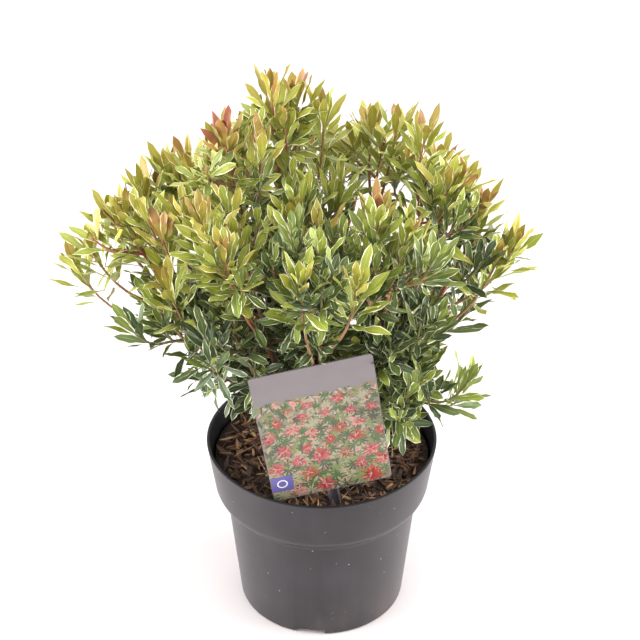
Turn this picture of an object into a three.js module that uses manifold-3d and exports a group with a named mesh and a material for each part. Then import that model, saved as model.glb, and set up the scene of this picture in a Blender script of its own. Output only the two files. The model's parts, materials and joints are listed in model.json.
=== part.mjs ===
// A small pieris shrub in a round nursery pot, with its root ball and its plant label.
// Millimetres, +Z up, origin at the middle of the pot's underside, the label towards -Y.

import * as THREE from 'three';
import { mergeVertices } from 'three/addons/utils/BufferGeometryUtils.js';
import Module from 'manifold-3d';

const wasm = await Module();
wasm.setup();

// ---------- driving dimensions ----------

const TAU = Math.PI * 2;
const GOLDEN_ANGLE = Math.PI * (3 - Math.sqrt(5));

// Between pieces that touch in the real shrub, and between corners that are one.
const GAP = 0.3;
const WELD = 1e-4;

const POT = {
  rimRadius: 79.5,
  rimHeight: 131.5,
  lipRadius: 77.4,
  collarFootRadius: 74,
  collarFootHeight: 93,
  bodyTopRadius: 66.6,
  bodyTopHeight: 86,
  baseRadius: 58,
  shoulderOut: 3,
  shoulderUp: 2,
  wall: 2,
  wallTurn: 1,
  floor: 2.4,
  floorInset: 0.5,
  edge: 0.8,
  hubRadius: 30,
  hubSlope: 2,
  recess: 3,
  footWidth: 5,
  footSlope: 1,
  sides: 32,
};

const DRAIN_HOLES = { count: 4, radius: 4.5, ring: 42, depth: 18, sides: 8 };
const DRAIN_NOTCHES = { count: 3, width: 20, depth: 12, height: 4.5, azimuth: 261.7 };

const SOIL = { height: 117.3, padRadius: 13, bump: 1.6, flatEdge: 1, rings: 2, seed: 11 };

const CARD = {
  width: 80,
  height: 112,
  corner: 3,
  cornerSteps: 3,
  thickness: 1,
  centre: [0, -67, 186],
  roll: 9,
  yaw: 9.5,
  lean: 7,
};
const STAKE = { width: 8, length: 44, point: 12 };

const TRUNK = {
  height: 30,
  footRadius: 10.5,
  radius: 6.6,
  topRadius: 5.6,
  flareHeight: 9,
  lean: [2, -1.5],
  straight: 0.5,
  sides: 10,
  steps: 6,
};

// Boughs thin out from their fork, leave the trunk at a rise (more where they carry it on) or
// turn out of another bough, and stop short of the heart of their mass.
const BOUGH = {
  radius: 3.1,
  forkRadius: 2.3,
  tipRadius: 1.7,
  stemShare: 1.1,
  lift: 0.55,
  rise: 0.9,
  topRise: 4,
  turnOut: 1.1,
  handle: 0.35,
  sides: 5,
  steps: 4,
};

// The leader carries a bough on. Side shoots fork off it from high up to low down, at wider
// and wider angles.
const TWIG = { tipRadius: 1.05, sides: 3, steps: 2 };
const LEADER = { radius: 1.7, bend: 0.6, bare: 0.1, leaves: 7 };
const SIDE_SHOOTS = {
  count: 4,
  radius: 1.45,
  bend: 0.5,
  bare: 0.3,
  leaves: 6,
  fork: 0.5,
  forkDrop: 0.3,
  angle: 50,
  angleFall: 45,
  angleScatter: 10,
};

const LEAF = { length: 36, width: 13.5, keel: 1.8, widest: 0.62, droop: 2.5 };

// How leaves stand along a shoot: crowded at its tip, flatter and larger further down.
const LEAF_STAND = {
  crowding: 1.25,
  topmost: 0.95,
  pitch: 30,
  pitchFall: 44,
  pitchScatter: 10,
  leastLength: 0.8,
  swell: 0.2,
  swellFrom: 0.25,
  lengthScatter: 0.1,
  sunk: 0.45,
  sizes: [1, 0.72],
  turns: [0, 40, -40, 80],
};

// What shoots and leaves keep clear of, and where along an edge that is tried.
const ROOM = {
  limb: 0.7,
  cell: 0.3,
  pot: 1,
  cardSide: 2,
  cardBack: 1,
  probes: [0, 0.25, 0.5, 0.75, 1],
};

const FIRST_SEED = 101;

// Each mass of foliage: its name, where its heart lies round the pot's axis (azimuth in degrees
// from +X towards +Y, reach from the axis, height above the pot's underside), how far its shoots
// spread from there, and the limb that its bough grows from: the trunk, at a height, or the
// bough of another mass, at a share of that bough's length.
const MASSES = [
  ['left_tip', 186, 118, 291, 28, 'trunk', 21],
  ['left_high', 161, 98, 298, 28, 'left_tip', 0.4],
  ['left_low', 200, 98, 238, 28, 'left_tip', 0.25],
  ['front_left', 236, 80, 304, 29, 'trunk', 11],
  ['front_left_high', 208, 62, 350, 28, 'front_left', 0.45],
  ['front_left_low', 226, 76, 244, 28, 'front_left', 0.22],
  ['front', 269, 84, 300, 28, 'trunk', 20],
  ['front_low', 266, 56, 252, 26, 'front', 0.3],
  ['front_right', 306, 76, 300, 29, 'trunk', 12],
  ['front_right_low', 320, 62, 238, 27, 'front_right', 0.22],
  ['right_high', 354, 76, 308, 28, 'right_tip', 0.4],
  ['right_tip', 358, 90, 276, 28, 'trunk', 21],
  ['right_low', 328, 72, 196, 27, 'right_tip', 0.18],
  ['back_right', 42, 88, 284, 29, 'trunk', 12],
  ['crest_right', 36, 46, 332, 29, 'back_right', 0.45],
  ['back_right_low', 28, 84, 208, 28, 'back_right', 0.22],
  ['back', 86, 88, 288, 29, 'trunk', 21],
  ['back_low', 92, 82, 212, 28, 'back', 0.22],
  ['back_left', 128, 90, 284, 29, 'trunk', 12],
  ['back_left_low', 152, 86, 214, 28, 'back_left', 0.22],
  ['crest', 152, 34, 350, 30, 'trunk', 30],
  ['heart', 250, 24, 308, 26, 'crest', 0.35],
].map(([name, azimuth, reach, height, spread, from, at]) => {
  return { name, azimuth, reach, height, spread, from, at };
});

// ---------- materials ----------

const finish = (color, roughness) => new THREE.MeshStandardMaterial({ color, roughness, metalness: 0 });
const potPlastic = finish(0x55535a, 0.5);
const rootBall = finish(0x3a2418, 0.95);
const labelPlastic = finish(0x8c8486, 0.35);
const stemBark = finish(0x6b5140, 0.85);
const foliage = finish(0x5d7a3a, 0.55);

// ---------- helpers ----------

const radians = (degrees) => (degrees * Math.PI) / 180;

// Even numbers from 0 to 1, the same ones in each run.
const SEED_STEP = 16807;
const SEED_WRAP = 2147483647;

function seeded(seed) {
  let state = seed;
  return () => {
    state = (state * SEED_STEP) % SEED_WRAP;
    return state / SEED_WRAP;
  };
}

// A geometry's corners alone, with those that meet made one.
function welded(geometry) {
  const bare = geometry.clone();
  for (const name of Object.keys(bare.attributes)) {
    if (name !== 'position') bare.deleteAttribute(name);
  }
  return mergeVertices(bare, WELD);
}

function solidOf(geometry) {
  const closed = welded(geometry);
  return new wasm.Manifold(
    new wasm.Mesh({
      numProp: 3,
      vertProperties: new Float32Array(closed.attributes.position.array),
      triVerts: new Uint32Array(closed.index.array),
    }),
  );
}

function geometryFrom(positions, index) {
  const geometry = new THREE.BufferGeometry();
  geometry.setAttribute('position', new THREE.Float32BufferAttribute(positions, 3));
  geometry.setIndex(Array.from(index));
  return geometry;
}

function geometryOf(solid) {
  const mesh = solid.getMesh();
  const geometry = geometryFrom(mesh.vertProperties, mesh.triVerts);
  geometry.computeVertexNormals();
  return geometry;
}

// The largest body of a solid, without the scraps and sealed hollows that a join or cut leaves.
function mainBody(solid) {
  const bodies = solid.decompose();
  return bodies.reduce((best, body) => (body.volume() > best.volume() ? body : best));
}

// A mesh whose geometry is given in the shrub's frame and kept round its own foot.
function placed(name, geometry, material, foot) {
  geometry.translate(-foot.x, -foot.y, -foot.z);
  const mesh = new THREE.Mesh(geometry, material);
  mesh.name = name;
  mesh.position.copy(foot);
  return mesh;
}

function polar(azimuth, reach, height) {
  return new THREE.Vector3(
    reach * Math.cos(radians(azimuth)),
    reach * Math.sin(radians(azimuth)),
    height,
  );
}

// Two unit vectors square to a direction and to each other.
function sidesOf(direction) {
  const across = new THREE.Vector3(0, 0, 1).cross(direction);
  if (across.lengthSq() < WELD * WELD) across.set(1, 0, 0);
  across.normalize();
  return [across, direction.clone().cross(across).normalize()];
}

// The direction at a turn round two such vectors.
function around([across, over], turn) {
  return across.clone().multiplyScalar(Math.cos(turn)).addScaledVector(over, Math.sin(turn));
}

// A closed tapering limb along a curve: rings of a few sides, with a flat cut at each end.
function limbGeometry(curve, radiusAt, sides, steps) {
  const frames = curve.computeFrenetFrames(steps, false);
  const positions = [];
  const index = [];
  for (let step = 0; step <= steps; step++) {
    const middle = curve.getPointAt(step / steps);
    const radius = radiusAt(step / steps);
    for (let side = 0; side < sides; side++) {
      const turn = (side / sides) * TAU;
      const point = middle
        .clone()
        .addScaledVector(frames.normals[step], radius * Math.cos(turn))
        .addScaledVector(frames.binormals[step], radius * Math.sin(turn));
      positions.push(point.x, point.y, point.z);
    }
  }
  for (let step = 0; step < steps; step++) {
    for (let side = 0; side < sides; side++) {
      const a = step * sides + side;
      const b = step * sides + ((side + 1) % sides);
      index.push(a, b, b + sides, a, b + sides, a + sides);
    }
  }
  const last = steps * sides;
  for (let side = 1; side < sides - 1; side++) {
    index.push(0, side + 1, side);
    index.push(last, last + side, last + side + 1);
  }
  return geometryFrom(positions, index);
}

const taper = (from, to) => (share) => from + (to - from) * share;

// A round body turned about +Z from its outline of [radius, height] corners.
function turnedGeometry(profile) {
  const outline = profile.map(([radius, height]) => new THREE.Vector2(radius, height));
  return new THREE.LatheGeometry(outline, POT.sides).rotateX(Math.PI / 2);
}

// ---------- pot ----------

// Inside of the pot, from the hub of its floor up to the lip, moved inwards by a clearance.
function potInside(clearance) {
  const step = POT.wall + clearance;
  const collarFoot = [POT.collarFootRadius - step, POT.collarFootHeight + POT.wallTurn];
  const hubHeight = POT.floor + clearance;
  const floorHeight = POT.recess + hubHeight;
  return {
    floor: [
      [0, hubHeight],
      [POT.hubRadius - POT.hubSlope / 2 - clearance, hubHeight],
      [POT.hubRadius + POT.hubSlope / 2 - clearance, floorHeight],
      [POT.baseRadius - step - POT.floorInset, floorHeight],
    ],
    wall: [[POT.bodyTopRadius - step, POT.bodyTopHeight + POT.wallTurn], collarFoot],
    radiusAt(height) {
      const share = (height - POT.collarFootHeight) / (POT.rimHeight - POT.collarFootHeight);
      return POT.collarFootRadius + (POT.rimRadius - POT.collarFootRadius) * share - step;
    },
  };
}

function pot() {
  const inside = potInside(0);
  const footInner = POT.baseRadius - POT.footWidth;
  const outside = [
    [0, 0],
    [POT.hubRadius, 0],
    [POT.hubRadius + POT.hubSlope, POT.recess],
    [footInner - POT.footSlope, POT.recess],
    [footInner, 0],
    [POT.baseRadius - POT.edge, 0],
    [POT.baseRadius, POT.edge],
    [POT.bodyTopRadius, POT.bodyTopHeight],
    [POT.bodyTopRadius + POT.shoulderOut, POT.bodyTopHeight + POT.shoulderUp],
    [POT.collarFootRadius, POT.collarFootHeight],
  ];
  const rim = [
    [POT.rimRadius, POT.rimHeight - POT.edge],
    [POT.rimRadius - POT.edge, POT.rimHeight],
    [POT.lipRadius + POT.edge / 2, POT.rimHeight],
    [POT.lipRadius, POT.rimHeight - POT.edge],
  ];
  const within = [...inside.floor, ...inside.wall].reverse();
  let solid = solidOf(turnedGeometry([...outside, ...rim, ...within]));
  for (let n = 0; n < DRAIN_HOLES.count; n++) {
    const drill = new THREE.CylinderGeometry(
      DRAIN_HOLES.radius,
      DRAIN_HOLES.radius,
      DRAIN_HOLES.depth,
      DRAIN_HOLES.sides,
    );
    drill.rotateX(Math.PI / 2);
    const middle = polar((n * 360) / DRAIN_HOLES.count, DRAIN_HOLES.ring, POT.recess);
    drill.translate(middle.x, middle.y, middle.z);
    solid = solid.subtract(solidOf(drill));
  }
  for (let n = 0; n < DRAIN_NOTCHES.count; n++) {
    const azimuth = DRAIN_NOTCHES.azimuth + (n * 360) / DRAIN_NOTCHES.count;
    const { depth, width, height } = DRAIN_NOTCHES;
    const cutter = new THREE.BoxGeometry(depth, width, height * 2);
    cutter.rotateZ(radians(azimuth));
    const middle = polar(azimuth, POT.baseRadius, 0);
    cutter.translate(middle.x, middle.y, middle.z);
    solid = solid.subtract(solidOf(cutter));
  }
  return placed('pot', geometryOf(solid), potPlastic, new THREE.Vector3());
}

// ---------- label ----------

// The card's rounded outline with its pointed stake below, grown outwards by a margin.
function labelOutline(margin) {
  const right = CARD.width / 2 + margin;
  const top = CARD.height / 2 + margin;
  const corner = CARD.corner + margin;
  const half = STAKE.width / 2 + margin;
  const shoulder = -top - STAKE.length + STAKE.point;
  const outline = new THREE.Shape();
  outline.moveTo(half, -top);
  outline.lineTo(right - corner, -top);
  outline.absarc(right - corner, -top + corner, corner, -Math.PI / 2, 0);
  outline.absarc(right - corner, top - corner, corner, 0, Math.PI / 2);
  outline.absarc(-right + corner, top - corner, corner, Math.PI / 2, Math.PI);
  outline.absarc(-right + corner, -top + corner, corner, -Math.PI, -Math.PI / 2);
  outline.lineTo(-half, -top);
  outline.lineTo(-half, shoulder);
  outline.lineTo(0, shoulder - STAKE.point);
  outline.lineTo(half, shoulder);
  return outline;
}

function labelGeometry(margin) {
  const depth = CARD.thickness + 2 * margin;
  const geometry = new THREE.ExtrudeGeometry(labelOutline(margin), {
    depth,
    bevelEnabled: false,
    curveSegments: CARD.cornerSteps,
  });
  geometry.translate(0, 0, -depth / 2);
  geometry.rotateX(Math.PI / 2);
  return geometry;
}

// The card stands on its long side: rolled in its own plane, leant forwards, then turned.
function labelPlace() {
  const standing = new THREE.Group();
  standing.position.set(...CARD.centre);
  standing.rotation.set(radians(CARD.lean), radians(-CARD.roll), radians(CARD.yaw), 'ZXY');
  standing.updateMatrixWorld(true);
  return standing;
}

function label() {
  const standing = labelPlace();
  const card = new THREE.Mesh(labelGeometry(0), labelPlastic);
  card.name = 'label';
  standing.add(card);
  return standing;
}

const cardPlace = labelPlace().matrixWorld;
const cardFrame = cardPlace.clone().invert();

// ---------- root ball ----------

// Peat and bark mulch that fill the pot, with a low lumpy top and a flat pad for the trunk.
function soil() {
  const inside = potInside(GAP);
  const rand = seeded(SOIL.seed);
  const edge = inside.radiusAt(SOIL.height);
  const top = [[edge, SOIL.height]];
  for (let ring = SOIL.rings - 1; ring >= 0; ring--) {
    const share = ring / SOIL.rings;
    top.push([SOIL.padRadius + (edge - SOIL.padRadius) * share, SOIL.height]);
  }
  const ball = welded(turnedGeometry([...inside.floor, ...inside.wall, ...top, [0, SOIL.height]]));
  const corners = ball.attributes.position;
  for (let n = 0; n < corners.count; n++) {
    const radius = Math.hypot(corners.getX(n), corners.getY(n));
    const inTop = Math.abs(corners.getZ(n) - SOIL.height) < WELD;
    if (inTop && radius > SOIL.padRadius + SOIL.flatEdge && radius < edge - SOIL.flatEdge) {
      corners.setZ(n, SOIL.height + SOIL.bump * (2 * rand() - 1));
    }
  }
  const stakeSlot = labelGeometry(GAP).applyMatrix4(cardPlace);
  const solid = solidOf(ball).subtract(solidOf(stakeSlot));
  return placed('soil', geometryOf(mainBody(solid)), rootBall, new THREE.Vector3());
}

// ---------- trunk ----------

const trunkFoot = new THREE.Vector3(0, 0, SOIL.height + GAP);
const trunkCurve = new THREE.QuadraticBezierCurve3(
  trunkFoot,
  trunkFoot.clone().add(new THREE.Vector3(0, 0, TRUNK.height * TRUNK.straight)),
  trunkFoot.clone().add(new THREE.Vector3(...TRUNK.lean, TRUNK.height)),
);

function trunkRadius(share) {
  const flare = Math.max(0, 1 - (share * TRUNK.height) / TRUNK.flareHeight) ** 2;
  return taper(TRUNK.radius, TRUNK.topRadius)(share) + (TRUNK.footRadius - TRUNK.radius) * flare;
}

function trunkGeometry(growth) {
  return limbGeometry(trunkCurve, (share) => trunkRadius(share) + growth, TRUNK.sides, TRUNK.steps);
}

// ---------- boughs ----------

for (const mass of MASSES) {
  mass.heart = polar(mass.azimuth, mass.reach, mass.height);
}

// Where a mass's stem points: away from the foot of the crown, lifted towards the light.
function growthOf(mass) {
  const foot = new THREE.Vector3(0, 0, SOIL.height + TRUNK.height);
  const lift = new THREE.Vector3(0, 0, BOUGH.lift);
  return mass.heart.clone().sub(foot).normalize().add(lift).normalize();
}

const massNamed = (name) => MASSES.find((mass) => mass.name === name);

function boughCurve(mass) {
  const growth = growthOf(mass);
  const end = mass.heart.clone().addScaledVector(growth, -BOUGH.stemShare * mass.spread);
  let start;
  let leave;
  if (mass.from === 'trunk') {
    start = trunkCurve.getPointAt(Math.min(1, mass.at / TRUNK.height));
    leave = polar(mass.azimuth, 1, mass.at >= TRUNK.height ? BOUGH.topRise : BOUGH.rise);
  } else {
    const parent = massNamed(mass.from).bough;
    start = parent.getPointAt(mass.at);
    const onward = end.clone().sub(start).normalize();
    leave = parent.getTangentAt(mass.at).addScaledVector(onward, BOUGH.turnOut);
  }
  const handle = BOUGH.handle * end.distanceTo(start);
  return new THREE.CubicBezierCurve3(
    start,
    start.clone().addScaledVector(leave.normalize(), handle),
    end.clone().addScaledVector(growth, -handle),
    end,
  );
}

const boughRadius = (mass) => (mass.from === 'trunk' ? BOUGH.radius : BOUGH.forkRadius);

function boughGeometry(mass, growth) {
  const radiusAt = taper(boughRadius(mass) + growth, BOUGH.tipRadius + growth);
  return limbGeometry(mass.bough, radiusAt, BOUGH.sides, BOUGH.steps);
}

// A bough is cut off clear of the limb that it grows from.
function boughSolid(mass) {
  const onTrunk = mass.from === 'trunk';
  const parent = onTrunk ? trunkGeometry(GAP) : boughGeometry(massNamed(mass.from), GAP);
  return mainBody(solidOf(boughGeometry(mass, 0)).subtract(solidOf(parent)));
}

// A bough can be drawn once the one that it grows from is.
const pending = [...MASSES];
while (pending.length) {
  const mass = pending.shift();
  if (mass.from === 'trunk' || massNamed(mass.from).bough) mass.bough = boughCurve(mass);
  else pending.push(mass);
}

// ---------- the room that each mass keeps to ----------

// All limbs as short straight rods, for testing what comes near them.
function rodsOf(curve, radiusAt, steps) {
  const rods = [];
  for (let step = 0; step < steps; step++) {
    rods.push({
      start: curve.getPointAt(step / steps),
      end: curve.getPointAt((step + 1) / steps),
      radius: radiusAt(step / steps),
    });
  }
  return rods;
}

const limbRods = [
  ...rodsOf(trunkCurve, trunkRadius, TRUNK.steps),
  ...MASSES.flatMap((mass) =>
    rodsOf(mass.bough, taper(boughRadius(mass), BOUGH.tipRadius), BOUGH.steps)),
];

// The least distance between two straight stretches.
function stretchDistance(a, b, c, d) {
  const ab = b.clone().sub(a);
  const cd = d.clone().sub(c);
  const ac = a.clone().sub(c);
  const lengthAB = ab.dot(ab);
  const lengthCD = cd.dot(cd);
  const along = ab.dot(cd);
  const slack = lengthAB * lengthCD - along * along;
  const clamp = (value) => Math.min(1, Math.max(0, value));
  const crossing = (along * cd.dot(ac) - ab.dot(ac) * lengthCD) / slack;
  const firstShare = slack > WELD * WELD ? clamp(crossing) : 0;
  const otherShare = clamp((along * firstShare + cd.dot(ac)) / lengthCD);
  const share = clamp((along * otherShare - ab.dot(ac)) / lengthAB);
  const near = a.clone().addScaledVector(ab, share);
  return near.distanceTo(c.clone().addScaledVector(cd, otherShare));
}

function clearOfLimbs(edges) {
  return limbRods.every((rod) =>
    edges.every(([a, b]) => {
      const clear = rod.radius + ROOM.limb;
      const reach = clear + a.distanceTo(b) + rod.start.distanceTo(rod.end);
      return a.distanceTo(rod.start) > reach || stretchDistance(a, b, rod.start, rod.end) > clear;
    }));
}

// Inside the mass's own cell of the crown: nearer to its heart than to any other's.
function insideCell(mass, point) {
  return MASSES.every((other) => {
    if (other === mass) return true;
    const across = other.heart.clone().sub(mass.heart);
    const width = across.length();
    const bias = (mass.spread ** 2 - other.spread ** 2) / (2 * width);
    const along = point.clone().sub(mass.heart).dot(across) / width;
    return along < width / 2 + bias - ROOM.cell;
  });
}

// Above the rim, outside the pot, or between its wall and the mulch.
function clearOfPot(point) {
  const radius = Math.hypot(point.x, point.y);
  if (point.z > POT.rimHeight + ROOM.pot || radius > POT.rimRadius + ROOM.pot) return true;
  const withinWall = radius < potInside(GAP).radiusAt(SOIL.height) - ROOM.pot;
  return withinWall && point.z > SOIL.height + SOIL.bump + ROOM.pot;
}

// Behind the card's plane, or past its edges.
function clearOfCard(point) {
  const local = point.clone().applyMatrix4(cardFrame);
  if (Math.abs(local.x) > CARD.width / 2 + ROOM.cardSide) return true;
  if (local.z > CARD.height / 2 + ROOM.cardSide) return true;
  return local.y > CARD.thickness + ROOM.cardBack;
}

function fits(mass, edges) {
  for (const [a, b] of edges) {
    const probes = ROOM.probes.map((share) => a.clone().lerp(b, share));
    if (!probes.every((point) => clearOfPot(point) && clearOfCard(point))) return false;
    if (!insideCell(mass, a) || !insideCell(mass, b)) return false;
  }
  return clearOfLimbs(edges);
}

// ---------- shoots ----------

// The shoots of a mass: a leader that carries the bough on, and side shoots that leave it by
// turns of the golden angle and bend up to their tips round the mass's heart.
function shootsOf(mass, rand) {
  const { heart, spread } = mass;
  const growth = growthOf(mass);
  const sides = sidesOf(growth);
  const foot = mass.bough.getPointAt(1).addScaledVector(growth, GAP);
  const leader = new THREE.QuadraticBezierCurve3(
    foot,
    foot.clone().addScaledVector(growth, spread * LEADER.bend),
    heart.clone().addScaledVector(growth, spread),
  );
  const shoots = [{ ...LEADER, curve: leader }];
  const firstTurn = rand() * TAU;
  for (let n = 0; n < SIDE_SHOOTS.count; n++) {
    const share = n / (SIDE_SHOOTS.count - 1);
    const fork = SIDE_SHOOTS.fork - SIDE_SHOOTS.forkDrop * share;
    const sideways = around(sides, firstTurn + (n + 1) * GOLDEN_ANGLE);
    const fall = SIDE_SHOOTS.angleFall * share + SIDE_SHOOTS.angleScatter * rand();
    const angle = radians(SIDE_SHOOTS.angle + fall);
    const tip = heart
      .clone()
      .addScaledVector(growth, spread * Math.cos(angle))
      .addScaledVector(sideways, spread * Math.sin(angle));
    const start = leader.getPointAt(fork);
    const leave = leader.getTangentAt(fork).add(sideways).normalize();
    const bend = start.clone().addScaledVector(leave, SIDE_SHOOTS.bend * tip.distanceTo(start));
    shoots.push({ ...SIDE_SHOOTS, curve: new THREE.QuadraticBezierCurve3(start, bend, tip) });
  }
  return shoots;
}

function shootEdges({ curve }) {
  const edges = [];
  for (let step = 1; step <= TWIG.steps; step++) {
    edges.push([curve.getPointAt((step - 1) / TWIG.steps), curve.getPointAt(step / TWIG.steps)]);
  }
  return edges;
}

// ---------- leaves ----------

// A leaf as a keeled blade: root, two edges, tip, and the midrib below.
function leafPoints(root, direction, face, length, width) {
  const side = direction.clone().cross(face).normalize();
  const middle = root.clone().addScaledVector(direction, length * LEAF.widest);
  return {
    root,
    left: middle.clone().addScaledVector(side, -width / 2),
    right: middle.clone().addScaledVector(side, width / 2),
    keel: middle.clone().addScaledVector(face, -LEAF.keel),
    tip: root.clone().addScaledVector(direction, length).addScaledVector(face, -LEAF.droop),
  };
}

function leafGeometry({ root, left, right, keel, tip }) {
  const corners = [root, left, right, keel, tip].flatMap((corner) => corner.toArray());
  const faces = [
    [0, 2, 1],
    [4, 1, 2],
    [0, 1, 3],
    [0, 3, 2],
    [4, 3, 1],
    [4, 2, 3],
  ];
  return geometryFrom(corners, faces.flat());
}

function leafEdges({ root, left, right, tip }) {
  return [
    [root, left],
    [left, tip],
    [tip, right],
    [right, root],
    [root, tip],
    [left, right],
  ];
}

// Whether a straight stretch passes through a triangle.
function pierces([start, end], [a, b, c]) {
  const span = end.distanceTo(start);
  const ray = new THREE.Ray(start, end.clone().sub(start).divideScalar(span));
  const hit = ray.intersectTriangle(a, b, c, false, new THREE.Vector3());
  return hit !== null && hit.distanceTo(start) < span;
}

function piercesBlade(edge, { root, left, right, tip }) {
  return pierces(edge, [root, left, right]) || pierces(edge, [tip, left, right]);
}

function bladesCross(one, other) {
  return (
    leafEdges(one).some((edge) => piercesBlade(edge, other)) ||
    leafEdges(other).some((edge) => piercesBlade(edge, one))
  );
}

// Leaves stand round a shoot by turns of the golden angle, closer and steeper towards its tip.
// Each takes the largest size and the first turn that keeps it in its mass's room and out of
// the other leaves and shoots.
function leavesOf(mass, shoot, rand, grown) {
  const stand = LEAF_STAND;
  const leaves = [];
  const firstTurn = rand() * TAU;
  const otherRods = grown.shoots.filter((other) => other !== shoot).flatMap(shootEdges);
  const standsFree = (blade) =>
    fits(mass, leafEdges(blade)) &&
    ![...grown.leaves, ...leaves].some((other) => bladesCross(blade, other)) &&
    !otherRods.some((rod) => piercesBlade(rod, blade));
  const choices = stand.sizes.flatMap((size) => stand.turns.map((extra) => [size, extra]));
  for (let n = 0; n < shoot.leaves; n++) {
    const down = (n / (shoot.leaves - 1)) ** stand.crowding;
    const share = taper(stand.topmost, shoot.bare)(down);
    const growth = shoot.curve.getTangentAt(share);
    const sides = sidesOf(growth);
    const pitch = radians(stand.pitch + stand.pitchFall * down + stand.pitchScatter * rand());
    const swell = Math.sin(Math.PI * Math.min(1, down + stand.swellFrom));
    const scale = stand.leastLength + stand.swell * swell + stand.lengthScatter * rand();
    const sunk = stand.sunk * taper(shoot.radius, TWIG.tipRadius)(share);
    for (const [size, extra] of choices) {
      const outward = around(sides, firstTurn + n * GOLDEN_ANGLE + radians(extra));
      const direction = around([growth, outward], pitch);
      const face = around([growth, outward], pitch - Math.PI / 2);
      const root = shoot.curve.getPointAt(share).addScaledVector(direction, -sunk);
      const blade = leafPoints(root, direction, face, LEAF.length * scale * size, LEAF.width * size);
      if (standsFree(blade)) {
        leaves.push(blade);
        break;
      }
    }
  }
  return leaves;
}

// The shoots that find room, with their leaves, joined into one body.
function foliageMass(mass, seed) {
  const rand = seeded(seed);
  const [leader, ...others] = shootsOf(mass, rand);
  const shoots = [leader, ...others.filter((shoot) => fits(mass, shootEdges(shoot)))];
  const grown = { shoots, leaves: [] };
  for (const shoot of shoots) grown.leaves.push(...leavesOf(mass, shoot, rand, grown));
  const stems = shoots.map(({ curve, radius }) =>
    limbGeometry(curve, taper(radius, TWIG.tipRadius), TWIG.sides, TWIG.steps));
  const bodies = [...stems, ...grown.leaves.map(leafGeometry)].map(solidOf);
  return mainBody(bodies.reduce((whole, body) => whole.add(body)));
}

// ---------- the shrub ----------

const shrub = new THREE.Group();
shrub.name = 'potted_pieris';
shrub.add(pot(), soil(), label());
shrub.add(placed('trunk', trunkGeometry(0), stemBark, trunkFoot));
MASSES.forEach((mass, n) => {
  const limb = geometryOf(boughSolid(mass));
  const leafage = geometryOf(foliageMass(mass, FIRST_SEED + n));
  shrub.add(placed(`bough_${mass.name}`, limb, stemBark, mass.bough.getPointAt(0)));
  shrub.add(placed(`foliage_${mass.name}`, leafage, foliage, mass.bough.getPointAt(1)));
});

export default shrub;
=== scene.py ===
"""A small variegated pieris in its round nursery pot: leaves, twigs, bark, mulch, label and pot.

Metres, +Z up, origin at the middle of the pot's underside, the label towards -Y.
"""

import json
from collections import namedtuple
from math import copysign, cos, hypot, pi, radians, sin, sqrt, tau
from types import SimpleNamespace as Sizes

import bpy
import numpy as np
from mathutils import Matrix, Vector, noise

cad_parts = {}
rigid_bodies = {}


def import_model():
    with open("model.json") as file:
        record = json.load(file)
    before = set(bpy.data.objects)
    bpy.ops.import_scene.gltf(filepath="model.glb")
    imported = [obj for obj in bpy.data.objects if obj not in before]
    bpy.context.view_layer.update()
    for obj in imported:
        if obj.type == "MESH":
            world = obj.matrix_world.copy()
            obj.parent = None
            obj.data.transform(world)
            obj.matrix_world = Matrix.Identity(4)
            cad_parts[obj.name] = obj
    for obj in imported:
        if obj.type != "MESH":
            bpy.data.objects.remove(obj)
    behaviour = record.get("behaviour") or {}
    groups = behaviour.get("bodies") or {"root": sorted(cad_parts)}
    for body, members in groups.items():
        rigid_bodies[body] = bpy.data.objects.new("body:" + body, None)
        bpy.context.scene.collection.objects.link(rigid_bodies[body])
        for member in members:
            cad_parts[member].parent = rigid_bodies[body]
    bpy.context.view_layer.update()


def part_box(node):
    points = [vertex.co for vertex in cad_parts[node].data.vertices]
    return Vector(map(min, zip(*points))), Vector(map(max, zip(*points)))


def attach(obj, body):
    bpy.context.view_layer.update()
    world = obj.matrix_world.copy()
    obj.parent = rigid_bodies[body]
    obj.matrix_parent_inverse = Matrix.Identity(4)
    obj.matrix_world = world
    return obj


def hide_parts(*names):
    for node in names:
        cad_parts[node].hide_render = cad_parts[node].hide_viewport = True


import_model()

# ---------- driving sizes ----------

GOLDEN_TURN = pi * (3 - sqrt(5))
UP = np.array([0.0, 0.0, 1.0])

_, POT_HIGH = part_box("pot")
POT = Sizes(
    rim=POT_HIGH.x, rim_height=POT_HIGH.z, lip=0.0774, collar_foot=0.074, collar_height=0.093,
    body_top=0.0666, body_height=0.086, base=0.058, wall=0.002, floor=0.0024, hub=0.030,
    recess=0.003, foot=0.005, softness=0.0026, sides=144,
)
DRAIN_HOLES = Sizes(count=4, radius=0.0045, ring=0.042, low=-0.004, high=0.012)
DRAIN_NOTCHES = Sizes(
    count=3, azimuth=261.7, depth=0.012, foot=0.0224, top=0.020, low=-0.004, high=0.0045,
)

SOIL_HEIGHT = 0.1173
GAP = 0.0003

CARD = Sizes(width=0.080, height=0.112, corner=0.003, thickness=0.001)
CARD_CENTRE = (0.0, -0.067, 0.186)
CARD_ROLL, CARD_YAW, CARD_LEAN = 9, 9.5, 7
CARD_PLACE = (
    Matrix.Translation(CARD_CENTRE)
    @ Matrix.Rotation(radians(CARD_YAW), 4, "Z")
    @ Matrix.Rotation(radians(CARD_LEAN), 4, "X")
    @ Matrix.Rotation(radians(-CARD_ROLL), 4, "Y")
)
STAKE = Sizes(width=0.008, length=0.044, point=0.012, rib=0.0016, in_view=0.013)

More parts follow.
